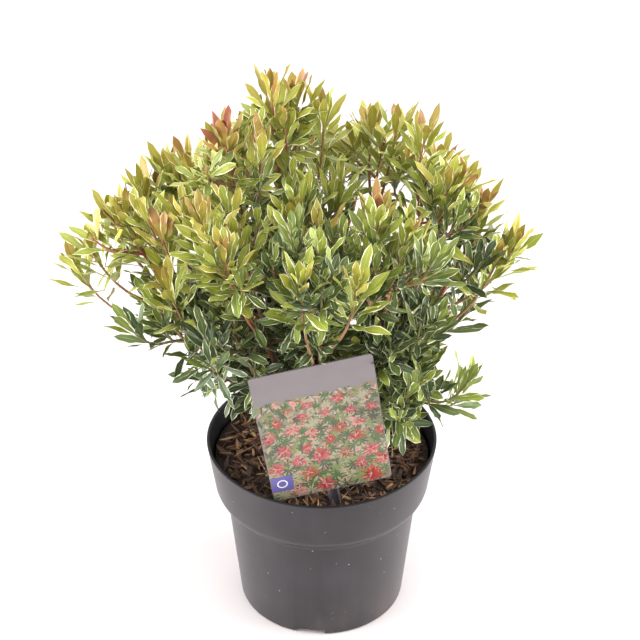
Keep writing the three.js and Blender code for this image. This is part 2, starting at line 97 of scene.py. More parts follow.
TRUNK = Sizes(
    height=0.030, foot_radius=0.0105, radius=0.0066, top_radius=0.0056, flare=0.009,
    lean=(0.002, -0.0015), straight=0.5,
)
# BOUGH's flush is the share of the fresh tints that the leaves on the boughs take: raised as painted
# light, to lift the shade inside the crown.
BOUGH = Sizes(
    radius=0.0028, fork_radius=0.0019, tip_radius=0.0013, stem_share=1.1, lift=0.55, rise=0.9,
    top_rise=4, turn_out=1.1, handle=0.35, collar=0.0009, collar_share=0.12, flush=0.45,
)
LEADER = Sizes(radius=0.0014, bend=0.6)
SIDE_SHOOTS = Sizes(
    count=4, radius=0.00105, bend=0.5, fork=0.5, fork_drop=0.3, angle=50, angle_fall=45,
    angle_scatter=10,
)
SPRIGS = Sizes(count=2, radius=0.0007, length=0.026, first=0.3, step=0.3, flush=0.85)
# The inner sprigs take most of the fresh tints (flush): painted light that lifts the shade inside the
# crown.
INNER_SPRIGS = Sizes(count=7, radius=0.0009, length=0.030, first=0.3, step=0.11, flush=0.9)
YEAR_SHOOT = Sizes(radius=0.00085, length=0.031, least=0.012, rise=3.6, lean=2.0, start=0.5)
RISERS = Sizes(count=2, radius=0.0011, length=0.064, first=0.42, step=0.3, out=0.35, top=0.6)
# TALL's last number is the share of fresh tints that tall shoots keep in the shaded front masses:
# painted shade.
TALL = Sizes(radius=0.0012, lean=0.85, rise=3.6, straight=0.6, leaves=540, dim_flush=0.8)
TWIG_TIP = 0.0006
CROWN = Sizes(
    peak=(-0.034, 0.400), left_fall=0.75, right_fall=0.42, back_fall=0.65, shoulder=0.085, leaf=0.021,
)
FIRST_SEED = 101

# Each mass of foliage: its name, where its heart lies round the pot's axis (azimuth in degrees
# from +X towards +Y, reach from the axis, height), how far its shoots spread from there, and
# the limb that its bough grows from: the trunk, at a height, or another mass's bough, at a
# share of its length.
MASSES = [
    ("left_tip", 186, 0.118, 0.291, 0.028, "trunk", 0.021),
    ("left_high", 161, 0.098, 0.298, 0.028, "left_tip", 0.4),
    ("left_low", 200, 0.098, 0.238, 0.028, "left_tip", 0.25),
    ("front_left", 236, 0.080, 0.304, 0.029, "trunk", 0.011),
    ("front_left_high", 208, 0.062, 0.350, 0.028, "front_left", 0.45),
    ("front_left_low", 226, 0.076, 0.244, 0.028, "front_left", 0.22),
    ("front", 269, 0.084, 0.300, 0.028, "trunk", 0.020),
    ("front_low", 266, 0.056, 0.252, 0.026, "front", 0.3),
    ("front_right", 306, 0.076, 0.300, 0.029, "trunk", 0.012),
    ("front_right_low", 320, 0.062, 0.238, 0.027, "front_right", 0.22),
    ("right_high", 354, 0.076, 0.308, 0.028, "right_tip", 0.4),
    ("right_tip", 358, 0.090, 0.276, 0.028, "trunk", 0.021),
    ("right_low", 328, 0.072, 0.196, 0.027, "right_tip", 0.18),
    ("back_right", 42, 0.088, 0.284, 0.029, "trunk", 0.012),
    ("crest_right", 36, 0.046, 0.332, 0.029, "back_right", 0.45),
    ("back_right_low", 28, 0.084, 0.208, 0.028, "back_right", 0.22),
    ("back", 86, 0.088, 0.288, 0.029, "trunk", 0.021),
    ("back_low", 92, 0.082, 0.212, 0.028, "back", 0.22),
    ("back_left", 128, 0.090, 0.284, 0.029, "trunk", 0.012),
    ("back_left_low", 152, 0.086, 0.214, 0.028, "back_left", 0.22),
    ("crest", 152, 0.034, 0.350, 0.030, "trunk", 0.030),
    ("heart", 250, 0.024, 0.308, 0.026, "crest", 0.35),
]
# Masses with fewer old leaves and inner twigs, and the airiest of them, which have no sprigs.
AIRY_MASSES = ("right_tip", "right_high", "crest_right", "back_right", "left_tip", "back_right_low")
OPEN_MASSES = (*AIRY_MASSES, "crest", "left_high", "back", "front_right", "left_low")
# Painted shade: the front masses lie in shade, so they keep only this share of their fresh tints and
# their leaves are painted darker.
PAINTED_SHADE_MASSES = {"front": 0.6, "front_low": 0.2}

REDDEST = 6
# The tall shoots that stand out of the crown, by mass: the share of its bough where each starts,
# where its stem ends (x, y, z in mm), how red its young leaves are, and how long its leafy part
# is (mm).
TALL_SHOOTS = {
    "front_left_high": [(0.8, -59, -30, 374, REDDEST, 66)],
    "crest": [(0.95, -31, 0, 389, 2.4, 40), (0.8, -16, 16, 378, 2.4, 46), (0.6, 1, 12, 368, 1.2, 40)],
    "crest_right": [(0.9, 32, 30, 350, 1.2, 36), (0.7, 47, 18, 357, 1.8, 36)],
    "right_high": [(0.9, 64, 4, 357, 2.2, 36), (0.7, 86, -12, 335, 2.0, 46),
                   (0.85, 78, -24, 338, 1.2, 42)],
    "right_tip": [(0.95, 102, 4, 306, 2.0, 40), (0.8, 123, -4, 283, 0.9, 36),
                  (0.6, 111, -20, 282, 0.8, 36)],
    "left_high": [(0.95, -84, 4, 338, 1.2, 40), (0.8, -99, 20, 325, 1.0, 36),
                  (0.6, -113, 6, 318, 0.8, 36), (0.7, -85, -30, 319, 0.6, 40)],
    "left_tip": [(0.95, -123, -10, 310, 2.0, 46), (0.9, -134, 4, 297, 1.4, 36),
                 (0.75, -147, -8, 282, 0.8, 30), (0.65, -158, 4, 260, 0.6, 28),
                 (0.8, -99, -34, 306, 1.8, 38), (0.5, -95, -52, 280, 1.2, 34)],
    "front": [(0.7, 20, -106, 316, 1.6, 40), (0.5, -13, -106, 318, 0.4, 40)],
    "front_left": [(0.8, -72, -70, 340, 2.2, 46), (0.65, -58, -90, 326, 2.4, 40)],
    "heart": [(0.8, -1, -55, 320, 2.6, 36), (0.95, -16, -45, 325, 0.8, 36)],
    "front_right": [(0.8, 34, -45, 330, 2.8, 40), (0.95, 56, -50, 316, 0.8, 40)],
    "back_left": [(0.8, -72, 94, 300, 2.0, 40)],
    "back": [(0.8, -18, 108, 306, 1.6, 40), (0.6, 30, 106, 304, 2.4, 40)],
    "back_right": [(0.8, 80, 76, 300, 1.4, 40)],
}

# ---------- finishes ----------


def paint(code):
    """The colour of a six-letter code such as 5d7a3a, as light."""
    shares = [int(code[n:n + 2], 16) / 255 for n in (0, 2, 4)]
    light = [s / 12.92 if s <= 0.04045 else ((s + 0.055) / 1.055) ** 2.4 for s in shares]
    return (*light, 1.0)


class Value:
    """A socket of a finish, with the sums that are written with it."""

    def __init__(self, finish, socket):
        self.finish, self.socket = finish, socket

    def __add__(self, other):
        return self.finish.sum("ADD", self, other)

    def __mul__(self, other):
        return self.finish.sum("MULTIPLY", self, other)

    def __sub__(self, other):
        return self.finish.sum("SUBTRACT", self, other)

    def __rsub__(self, other):
        return self.finish.sum("SUBTRACT", other, self)

    __radd__ = __add__
    __rmul__ = __mul__


class Finish:
    """A material and its shader."""

    def __init__(self, name, **sockets):
        self.material = bpy.data.materials.new(name)
        self.material.use_nodes = True
        self.tree = self.material.node_tree
        self.shader = self.tree.nodes["Principled BSDF"]
        self.set(**sockets)

    def set(self, **sockets):
        """Gives the shader's sockets their values or links: base_color is Base Color."""
        for name, value in sockets.items():
            words = name.replace("_", " ").title().replace("Ior", "IOR")
            self.feed(self.shader.inputs[words], value)

    def feed(self, socket, value):
        """Links a socket, or gives it a number, a vector or the colour of a code."""
        if isinstance(value, Value):
            self.tree.links.new(value.socket, socket)
        else:
            socket.default_value = paint(value) if isinstance(value, str) else value

    def node(self, kind, settings, sockets, output=0):
        """A node of a kind: its settings first, then its sockets by name or number."""
        node = self.tree.nodes.new(kind)
        for name, setting in settings.items():
            if name == "stops":
                self.stops(node.color_ramp, setting)
            else:
                setattr(node, name, setting)
        for name, value in sockets.items():
            self.feed(node.inputs[name], value)
        return Value(self, node.outputs[output])

    @staticmethod
    def stops(ramp, stops):
        while len(ramp.elements) < len(stops):
            ramp.elements.new(0.5)
        for element, (place, colour) in zip(ramp.elements, stops):
            element.position = place
            element.color = paint(colour)

    def sum(self, operation, first, second):
        return self.node("ShaderNodeMath", {"operation": operation}, {0: first, 1: second})

    def place(self, scale=(1, 1, 1)):
        """Places on the piece in metres, stretched by a scale."""
        where = self.node("ShaderNodeTexCoord", {}, {}, "Object")
        return self.node("ShaderNodeMapping", {}, {"Vector": where, "Scale": scale})

    def clouds(self, where, scale, detail=3, rough=0.55):
        sockets = {"Vector": where, "Scale": scale, "Detail": detail, "Roughness": rough}
        return self.node("ShaderNodeTexNoise", {}, sockets)

    def flecks(self, where, scale, size):
        """1 inside small scattered spots, 0 outside."""
        near = self.node("ShaderNodeTexVoronoi", {}, {"Vector": where, "Scale": scale})
        return 1 - self.between(near, size * 0.7, size)

    def between(self, value, low, high):
        """A smooth step from 0 at low to 1 at high."""
        settings = {"interpolation_type": "SMOOTHSTEP"}
        return self.node("ShaderNodeMapRange", settings, {0: value, 1: low, 2: high})

    def ramp(self, value, *stops):
        return self.node("ShaderNodeValToRGB", {"stops": stops}, {0: value})

    def mix(self, factor, first, second):
        settings = {"data_type": "RGBA"}
        return self.node("ShaderNodeMix", settings, {0: factor, 6: first, 7: second}, 2)

    def bump(self, height, strength, distance):
        sockets = {"Height": height, "Strength": strength, "Distance": distance}
        return self.node("ShaderNodeBump", {}, sockets)

    def height(self):
        """How high a place on the piece is, in metres."""
        where = self.node("ShaderNodeTexCoord", {}, {}, "Object")
        return self.node("ShaderNodeSeparateXYZ", {}, {0: where}, "Z")


def pot_plastic():
    """Dark grey moulded plastic: faint clouds, dust, and dried splashes near the foot."""
    finish = Finish("pot_plastic", specular_ior_level=0.37)
    where = finish.place()
    clouds = finish.clouds(where, 28)
    streaks = finish.clouds(finish.place((1, 1, 0.12)), 90)
    grain = finish.clouds(where, 2200, 2)
    foot = 1 - finish.between(finish.height(), 0.004, 0.042)
    splashes = finish.flecks(where, 260, 0.16) * finish.between(finish.clouds(where, 60), 0.48, 0.6)
    pale = finish.flecks(where, 120, 0.07) * 0.5
    dust = finish.between(clouds * 0.6 + streaks * 0.4, 0.4, 0.72) * 0.35
    grey = finish.mix(clouds, "252225", "2a272a")
    dusty = finish.mix(dust, grey, "3d393d")
    splashed = finish.mix(foot * (splashes * 0.8 + dust * 0.3), dusty, "7d6450")
    finish.set(
        base_color=finish.mix(pale, splashed, "b9b4b4"),
        roughness=clouds * 0.05 + dust * 0.1 + 0.3,
        normal=finish.bump(grain + streaks * 0.8, 0.12, 0.0002),
    )
    return finish.material


def clouded(name, scale, tones, rough, stretch=1, **sockets):
    """A finish that wavers between two tones and between two roughnesses."""
    finish = Finish(name, **sockets)
    clouds = finish.clouds(finish.place((1, 1, stretch)), scale)
    finish.set(base_color=finish.mix(clouds, *tones), roughness=clouds * rough[0] + rough[1])
    return finish.material


def lip_plastic_with_painted_shade():
    """The same plastic, far darker on the rim's top and the inside wall: painted shade down the inside
    of the pot.
    """
    return clouded("pot_lip_painted_shade", 60, ("070708", "0e0e10"), (0.2, 0.42), specular_ior_level=0.25)


def peat():
    finish = Finish("peat", roughness=0.95)
    where = finish.place()
    clods = finish.clouds(where, 420, 6, 0.7)
    finish.set(
        base_color=finish.ramp(clods, (0.3, "160e09"), (0.55, "33221a"), (0.8, "5a4030")),
        normal=finish.bump(clods, 0.8, 0.0015),
    )
    return finish.material


def stem_bark():
    """Thin bark, ridged and split along the stem, greener where it is young."""
    finish = Finish("stem_bark", roughness=0.82)
    where = finish.place((1, 1, 0.22))
    ridges = finish.clouds(where, 900, 5, 0.65)
    patches = finish.clouds(finish.place(), 70)
    old = finish.ramp(ridges, (0.32, "33231a"), (0.5, "6a4c38"), (0.68, "92755c"))
    young = finish.ramp(ridges, (0.35, "564a2c"), (0.65, "8a7c4a"))
    finish.set(
        base_color=finish.mix(finish.between(patches, 0.5, 0.64), old, young),
        normal=finish.bump(ridges, 0.7, 0.0006),
    )
    return finish.material


def card_plastic():
    """Coated card: a plain grey with a faint mottle, a little glossy."""
    coat = {"coat_weight": 0.25, "coat_roughness": 0.2}
    return clouded("label_card", 90, ("676062", "726b6c"), (0.15, 0.35), **coat)


def stake_plastic():
    return clouded("label_stake", 300, ("2c2a2e", "77737a"), (0.2, 0.12), 0.2, specular_ior_level=0.9)


def plain(name, code, roughness, **sockets):
    """A finish of one colour, for the many small things of a joined piece."""
    return Finish(name, base_color=code, roughness=roughness, **sockets).material


# ---------- meshes ----------


def unit(vector):
    return vector / np.linalg.norm(vector)


def polar(azimuth, reach, height):
    turn = radians(azimuth)
    return np.array([reach * cos(turn), reach * sin(turn), height])


def seeded(seed):
    """Even numbers from 0 to 1, the same ones in each run and as in the part's source."""
    while True:
        seed = seed * 16807 % 2147483647
        yield seed / 2147483647


def sides_of(heading):
    """Two unit vectors square to a heading and to each other."""
    across = np.cross(UP, heading)
    if np.linalg.norm(across) < 1e-4:
        across = np.array([1.0, 0.0, 0.0])
    across = unit(across)
    return across, unit(np.cross(heading, across))


def around(sides, turn):
    return sides[0] * cos(turn) + sides[1] * sin(turn)


class Curve:
    """A Bezier curve whose places are told by their share of its length."""

    def __init__(self, *handles):
        self.handles = [np.array(handle, float) for handle in handles]
        self.shares = np.linspace(0, 1, 201)
        steps = np.linalg.norm(np.diff(self.bend(self.shares), axis=0), axis=1)
        self.run = np.concatenate([[0], np.cumsum(steps)])
        self.length = self.run[-1]

    def rounds(self, share):
        """The handles, then the places between them, down to the one place on the curve."""
        rounds = [self.handles]
        while len(rounds[-1]) > 1:
            rounds.append([a + (b - a) * share for a, b in zip(rounds[-1], rounds[-1][1:])])
        return rounds

    def bend(self, shares):
        return self.rounds(np.asarray(shares, float)[..., None])[-1][0]

    def at(self, share):
        return self.bend(np.interp(np.asarray(share) * self.length, self.run, self.shares))

    def heading(self, share, step=0.002):
        middle = min(1 - step, max(step, share))
        return unit(self.at(middle + step) - self.at(middle - step))

    def until(self, share):
        """The curve's first part."""
        return Curve(*(points[0] for points in self.rounds(share)))


class Sheaf:
    """Faces gathered for one joined piece, each with the number of its finish."""

    def __init__(self, finishes):
        self.finishes, self.count = finishes, 0
        self.corners, self.faces, self.numbers = [], [], []

    def add(self, corners, faces, numbers=0):
        corners = np.asarray(corners, float).reshape(-1, 3)
        self.corners.append(corners)
        self.faces += [[corner + self.count for corner in face] for face in faces]
        self.numbers += [numbers] * len(faces) if isinstance(numbers, int) else list(numbers)
        self.count += len(corners)

    def piece(self, name, slot, *nodes, smooth=True):
        """The finished piece, on the part's one body, in the place of some of its nodes."""
        mesh = bpy.data.meshes.new(name)
        mesh.from_pydata(np.concatenate(self.corners).tolist(), [], self.faces)
        for material in self.finishes:
            mesh.materials.append(material)
        mesh.polygons.foreach_set("material_index", self.numbers)
        mesh.polygons.foreach_set("use_smooth", [smooth] * len(mesh.polygons))
        mesh.update()
        piece = linked(name, mesh)
        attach(piece, "root")
        if nodes:
            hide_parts(*nodes)
        return piece


def linked(name, data):
    """A new object in the scene."""
    thing = bpy.data.objects.new(name, data)
    bpy.context.scene.collection.objects.link(thing)
    return thing


def skin(rings):
    """Faces between rings of corners; a ring of one corner is an end on the axis."""
    faces = []
    for low, high in zip(rings, rings[1:]):
        for side in range(max(len(low), len(high))):
            ring = [low[side % len(low)], low[(side + 1) % len(low)],
                    high[(side + 1) % len(high)], high[side % len(high)]]
            faces.append(tuple(dict.fromkeys(ring)))
    return faces


def tube(curve, radius_at, sides, steps, relief=0.0):
    """Corners and faces of a closed limb along a curve, with a bark's relief if it has one."""
    shares = np.linspace(0, 1, steps + 1)
    over = sides_of(curve.heading(0))[0]
    turns = np.arange(sides) / sides * tau
    corners = []
    for share, middle in zip(shares, curve.at(shares)):
        heading = curve.heading(share)
        over = unit(over - heading * np.dot(over, heading))
        across = np.cross(heading, over)
        radius = radius_at(share)
        for turn in turns:
            out = around((over, across), turn)
            rough = 1 + relief * bark_relief(middle + out * radius)
            corners.append(middle + out * radius * rough)
    rings = [range(step * sides, (step + 1) * sides) for step in range(steps + 1)]
    return corners, skin(rings) + [tuple(reversed(rings[0])), tuple(rings[-1])]


def bark_relief(place):
    """Ridges along the stem with short splits across, about -1 to 1."""
    x, y, z = place
    ridges = noise.noise(Vector((x * 900, y * 900, z * 160)))
    lumps = noise.noise(Vector((x * 240, y * 240, z * 240)))
    return ridges + 0.8 * lumps


def taper(start, end):
    return lambda share: start + (end - start) * share


def turned(profile, sides):
    """Corners and faces of a round body from its outline of (radius, height), axis to axis."""
    turns = [side / sides * tau for side in range(sides)]
    corners, rings = [], []
    for radius, height in profile:
        ring = [(radius * cos(turn), radius * sin(turn), height) for turn in turns]
        if radius < 1e-6:
            ring = [(0, 0, height)]
        rings.append(range(len(corners), len(corners) + len(ring)))
        corners += ring
    return corners, skin(rings)


def rounded(outline, radius, steps=4):
    """An outline with its corners rounded off, its two ends kept."""
    points = [np.array(point, float) for point in outline]
    soft = [points[0]]
    for before, corner, after in zip(points, points[1:], points[2:]):
        into, out = corner - before, after - corner
        reach = min(radius, np.linalg.norm(into) * 0.45, np.linalg.norm(out) * 0.45)
        first = corner - unit(into) * reach
        last = corner + unit(out) * reach
        for share in np.linspace(0, 1, steps + 1):
            soft.append(first * (1 - share) ** 2 + corner * 2 * share * (1 - share) + last * share ** 2)
    soft.append(points[-1])
    return [tuple(point) for point in soft]


def cut(piece, cutters):
    """Takes cutters, as lists of corners and faces, out of a piece's mesh."""
    tools = []
    for corners, faces in cutters:
        mesh = bpy.data.meshes.new("cutter")
        mesh.from_pydata([tuple(corner) for corner in corners], [], faces)
        tool = linked("cutter", mesh)
        modifier = piece.modifiers.new("cut", "BOOLEAN")
        modifier.operation = "DIFFERENCE"
        modifier.solver = "EXACT"
        modifier.object = tool
        tools.append(tool)
    carved = bpy.data.meshes.new_from_object(piece.evaluated_get(bpy.context.evaluated_depsgraph_get()))
    piece.modifiers.clear()
    piece.data = carved
    for tool in tools:
        bpy.data.objects.remove(tool)


def crease(piece, degrees):
    """Smooth shading that stays sharp at edges steeper than an angle."""
    piece.data.polygons.foreach_set("use_smooth", [True] * len(piece.data.polygons))
    piece.data.set_sharp_from_angle(angle=radians(degrees))


# ---------- pot ----------


def pot():
    """One thin wall round its axis, turned from its outline: underside, outside, lip and inside."""
    inner = POT.wall
    foot = POT.base - POT.foot
    floor = POT.recess + POT.floor
    underside = [(0, 0), (POT.hub, 0), (POT.hub + 0.002, POT.recess)]
    underside += [(foot - 0.001, POT.recess), (foot, 0)]
    outside = [
        (POT.base, 0),
        (POT.body_top, POT.body_height),
        (POT.collar_foot - 0.0013, POT.collar_height - 0.0012),
        (POT.collar_foot + 0.0003, POT.collar_height + 0.0024),
        (POT.rim, POT.rim_height),
        (POT.lip, POT.rim_height),
    ]
    inside = [
        (POT.collar_foot - inner, POT.collar_height + 0.001),
        (POT.body_top - inner, POT.body_height + 0.001),
        (POT.base - inner - 0.0005, floor),
        (POT.hub + 0.001, floor),
        (POT.hub - 0.001, POT.floor),
        (0, POT.floor),
    ]
    sheaf = Sheaf([pot_plastic(), lip_plastic_with_painted_shade()])
    corners, faces = turned(rounded(underside + outside + inside, POT.softness), POT.sides)
    collar = taper(POT.collar_foot, POT.rim)
    dark = []  # 1 on the faces that get the far darker plastic: the lip's top, and the inside with its painted shade
    for face in faces:
        radius = np.mean([hypot(*corners[n][:2]) for n in face])
        height = np.mean([corners[n][2] for n in face])
        wall = collar((height - POT.collar_height) / (POT.rim_height - POT.collar_height))
        inward = height > POT.collar_height and radius < wall - inner / 2
        within = height > floor - GAP and radius < POT.base - inner / 2
        dark.append(int(inward or within or height > POT.rim_height - 0.0012))
    sheaf.add(corners, faces, dark)
    piece = sheaf.piece("nursery_pot", "pot_plastic", "pot")
    cut(piece, drain_cutters())
    crease(piece, 40)


def drain_cutters():
    """A drill for each hole and a wedge for each notch."""
    holes, notches = DRAIN_HOLES, DRAIN_NOTCHES
    drill = [(0, holes.low), (holes.radius, holes.low), (holes.radius, holes.high), (0, holes.high)]
    corners, faces = turned(drill, 24)
    middles = [polar(n * 360 / holes.count, holes.ring, 0) for n in range(holes.count)]
    azimuths = [notches.azimuth + n * 360 / notches.count for n in range(notches.count)]
    return [(corners + middle, faces) for middle in middles] + [notch_cutter(a) for a in azimuths]


def notch_cutter(azimuth):
    """A wedge with sloping cheeks that opens the foot of the wall."""
    notch = DRAIN_NOTCHES
    out = polar(azimuth, 1, 0)
    along = np.cross(UP, out)
    cheeks = [(-notch.foot / 2, notch.low), (notch.foot / 2, notch.low),
              (notch.top / 2, notch.high), (-notch.top / 2, notch.high)]
    corners = [out * (POT.base + reach) + along * side + UP * height
               for reach in (-notch.depth / 2, notch.depth / 2) for side, height in cheeks]
    faces = [(3, 2, 1, 0), (4, 5, 6, 7), (1, 5, 4, 0), (2, 6, 5, 1), (3, 7, 6, 2), (0, 4, 7, 3)]
    return corners, faces


# ---------- mulch ----------

MULCH = Sizes(
    chips=1450, chip_edge=0.0055, off_stake=0.0065, strands=130, strand_edge=0.022, edge=0.0738,
    play=0.001, depth=0.012, rings=26, spokes=96,
)
STAKE_FOOT = CARD_PLACE @ Vector((0, 0, -CARD.height / 2 - STAKE.in_view))
# Colours of the bark chips, with the share of chips that each has.
CHIPS = {"33231a": 0.18, "4b3325": 0.23, "614431": 0.22, "77583f": 0.13, "92714f": 0.07,
         "ab8a64": 0.03, "80512f": 0.04, "3d2e25": 0.1}


def mulch_height(x, y):
    lumps = noise.noise(Vector((x * 45, y * 45, 3.1)))
    return SOIL_HEIGHT + 0.0012 * lumps + 0.0006 * noise.noise(Vector((x * 190, y * 190, 1.7)))


def mulch_bed():
    """The peat under the bark, down to where the pot's wall hides it."""
    foot = SOIL_HEIGHT - MULCH.depth
    profile = [(0, foot), (MULCH.edge - MULCH.play, foot)]
    profile += [(MULCH.edge * ring / MULCH.rings, SOIL_HEIGHT) for ring in range(MULCH.rings, -1, -1)]
    corners, faces = turned(profile, MULCH.spokes)
    sheaf = Sheaf([peat()])
    sheaf.add([(x, y, z if z == foot else mulch_height(x, y)) for x, y, z in corners], faces)
    sheaf.piece("mulch_bed", "bark_mulch", "soil")


def chip(rng, middle):
    """One splinter of bark: a ragged flat prism, thinner at its ends, lying at a slant."""
    length = rng.uniform(0.0045, 0.011) * rng.choice([1, 1, 1.6])
    width = length * rng.uniform(0.11, 0.3)
    thick = rng.uniform(0.0007, 0.0019)
    turn = rng.uniform(0, tau)
    shares = np.array([-1, -0.45, 0.35, 1, 0.5, -0.4])
    halves = np.array([-0.15, -1, -0.8, 0.1, 0.9, 1])
    x = shares * length / 2 * rng.uniform(0.8, 1.1, 6)
    y = halves * width / 2 * rng.uniform(0.6, 1.15, 6)
    bow = (shares ** 2) * rng.uniform(-0.12, 0.12) * length
    top = np.stack([x, y, bow + thick * rng.uniform(0.3, 0.6, 6)], 1)
    foot = np.stack([x * 0.94, y * 0.9, bow - thick * rng.uniform(0.3, 0.6, 6)], 1)
    tilt = Matrix.Rotation(rng.normal(0, 0.3), 3, "X") @ Matrix.Rotation(rng.normal(0, 0.26), 3, "Y")
    stand = np.array(Matrix.Rotation(turn, 3, "Z") @ tilt)
    corners = np.concatenate([top, foot]) @ stand.T + middle
    faces = [(0, 1, 2, 3, 4, 5), (11, 10, 9, 8, 7, 6)]
    faces += [(n, n + 6, (n + 1) % 6 + 6, (n + 1) % 6) for n in range(6)]
    return corners, faces


def mulch_chips():
    rng = np.random.default_rng(7)
    sheaf = Sheaf([plain(f"chip_{code}", code, 0.86) for code in CHIPS])
    for _ in range(MULCH.chips):
        reach = (MULCH.edge - MULCH.chip_edge) * sqrt(rng.uniform(0, 1))
        if reach < TRUNK.foot_radius:
            continue
        x, y, _ = polar(rng.uniform(0, 360), reach, 0)
        if hypot(x - STAKE_FOOT[0], y - STAKE_FOOT[1]) < MULCH.off_stake:
            continue
        middle = np.array([x, y, mulch_height(x, y) + rng.uniform(-0.0002, 0.0032)])
        sheaf.add(*chip(rng, middle), int(rng.choice(len(CHIPS), p=list(CHIPS.values()))))
    sheaf.piece("mulch_chips", "bark_mulch", smooth=False)


def mulch_strands():
    """Thin dry stalks and bast fibres on the mulch."""
    rng = np.random.default_rng(19)
    sheaf = Sheaf([plain("strand_dry", "a98a63", 0.8), plain("strand_dark", "5f4630", 0.85)])
    for n in range(MULCH.strands):
        reach = (MULCH.edge - MULCH.strand_edge) * sqrt(rng.uniform(0.05, 1))
        middle = polar(rng.uniform(0, 360), reach, SOIL_HEIGHT + rng.uniform(0.0022, 0.0042))
        along = polar(rng.uniform(0, 360), rng.uniform(0.004, 0.016), rng.normal(0, 0.0007))
        bow = polar(rng.uniform(0, 360), rng.uniform(0.001, 0.005), rng.uniform(0, 0.0015))
        curve = Curve(middle - along, middle + bow, middle + along)
        thick = rng.uniform(0.00018, 0.00042)
        sheaf.add(*tube(curve, taper(thick, thick * 0.5), 5, 8), n % 2)
    sheaf.piece("mulch_strands", "bark_mulch")


# ---------- label ----------

CARD_FRONT = -CARD.thickness / 2
PRINT_LIFT = 0.00002


def on_card(corners):
    """Places of the card's own frame (right, behind, up) in the part's frame."""
    return [tuple(CARD_PLACE @ Vector(corner)) for corner in corners]


def card_outline(steps=6):
    right, top, corner = CARD.width / 2, CARD.height / 2, CARD.corner
    outline = []
    for quarter, (x, z) in enumerate([(right, top), (-right, top), (-right, -top), (right, -top)]):
        middle = (x - copysign(corner, x), z - copysign(corner, z))
        for step in range(steps + 1):
            turn = (quarter + step / steps) * pi / 2
            outline.append((middle[0] + corner * cos(turn), middle[1] + corner * sin(turn)))
    return outline


def slab(outline, front, back):
    """A flat plate on the card, from an outline that runs anticlockwise seen from -Y."""
    count = len(outline)
    corners = [(x, y, z) for y in (front, back) for x, z in outline]
    faces = [tuple(range(count)), tuple(reversed(range(count, 2 * count)))]
    faces += [(n, n + count, (n + 1) % count + count, (n + 1) % count) for n in range(count)]
    return on_card(corners), faces


def label_card():
    sheaf = Sheaf([card_plastic()])
    sheaf.add(*slab(card_outline(), CARD_FRONT, -CARD_FRONT))
    crease(sheaf.piece("label_card", "label_plastic", "label"), 30)


def label_stake():
    """A flat pointed stake behind the card, with a rib down its middle and two at its sides."""
    sheaf = Sheaf([stake_plastic()])
    half, rib = STAKE.width / 2, STAKE.rib
    edge = -CARD.height / 2
    top, foot = edge + 0.010, edge - STAKE.length
    shoulder = foot + STAKE.point
    outline = [(half, top), (-half, top), (-half, shoulder), (0, foot), (half, shoulder)]
    behind = -CARD_FRONT + 0.0001
    sheaf.add(*slab(outline, behind, behind + 0.0009))
    for left, right, high, front, back in (
        (-rib / 2, rib / 2, top, behind + 0.0009, behind + 0.0024),
        (-half, -half + rib, edge - GAP, CARD_FRONT - 0.0006, behind),
        (half - rib, half, edge - GAP, CARD_FRONT - 0.0006, behind),
    ):
        plate = [(right, high), (left, high), (left, shoulder), (right, shoulder)]
        sheaf.add(*slab(plate, front, back))
    crease(sheaf.piece("label_stake", "label_plastic", "label"), 30)


PRINT_COLOURS = {
    "ground": "706b5a", "shade": "434a36", "mist": "948e84", "coral": "9a3a32", "rose": "a24c52",
    "blush": "b27c72", "amber": "84583a", "leaf": "465a36", "sap": "6a7649", "pale": "8e886e",
    "badge": "524d84", "white": "c4c2c6",
}
PRINT = Sizes(
    edge=0.0006, band=0.0235, rows=13, columns=10, flower_rows=7, flower_columns=5, left_out=0.14,
)
BADGE = Sizes(width=0.0143, height=0.0135, up=0.0078, ring=0.0036, line=0.0009, clear=0.003)
# A petal's outline: the share of its length, and the half of its width.
PETAL = ((0, 0), (0.3, -0.8), (0.6, -1), (0.85, -0.6), (1, 0), (0.85, 0.6), (0.6, 1), (0.3, 0.8))


def petal(middle, turn, length, width):
    """A lens from the middle outwards, in the card's plane."""
    out = (cos(turn), sin(turn))
    side = (-out[1], out[0])
    return [tuple(middle[n] + out[n] * share * length + side[n] * half * width / 2 for n in (0, 1))
            for share, half in PETAL]


class Print:
    """Flat shapes of ink on the card's face, laid in layers."""

    def __init__(self):
        self.names = list(PRINT_COLOURS)
        self.sheaf = Sheaf([plain(f"print_{name}", code, 0.4, coat_weight=0.2)
                            for name, code in PRINT_COLOURS.items()])
        self.right = CARD.width / 2 - PRINT.edge
        self.foot = -CARD.height / 2 + PRINT.edge
        self.brow = CARD.height / 2 - PRINT.band

    def edge_of_band(self, x):
        """The picture's upper edge: low swells under the plain band."""
        return self.brow + 0.001 * sin(x * 420) + 0.0007 * sin(x * 950)

    def lay(self, layer, points, name):
        """One flat shape in a layer, kept within the picture's edges."""
        front = CARD_FRONT - PRINT_LIFT * (1 + layer)
        inside = []
        for x, z in points:
            x = min(self.right, max(-self.right, x))
            inside.append((x, front, min(self.edge_of_band(x), max(self.foot, z))))
        self.sheaf.add(on_card(inside), [tuple(range(len(inside)))], self.names.index(name))

    def lattice(self, rows, columns):
        """Places in staggered rows, how far down each is, and a layer unlike its neighbours'."""
        for row in range(rows):
            z = self.brow - (row + 0.5) * (self.brow - self.foot) / rows
            near = (self.brow - z) / (self.brow - self.foot)
            for column in range(columns):
                x = -self.right + (column + 0.25 + 0.5 * (row % 2)) * 2 * self.right / columns
                yield x, z, near, row % 2 + 2 * (column % 2)


def pick(rng, names):
    """One of some inks; an ink that is named twice comes up twice as often."""
    names = names.split()
    return names[int(rng.integers(len(names)))]


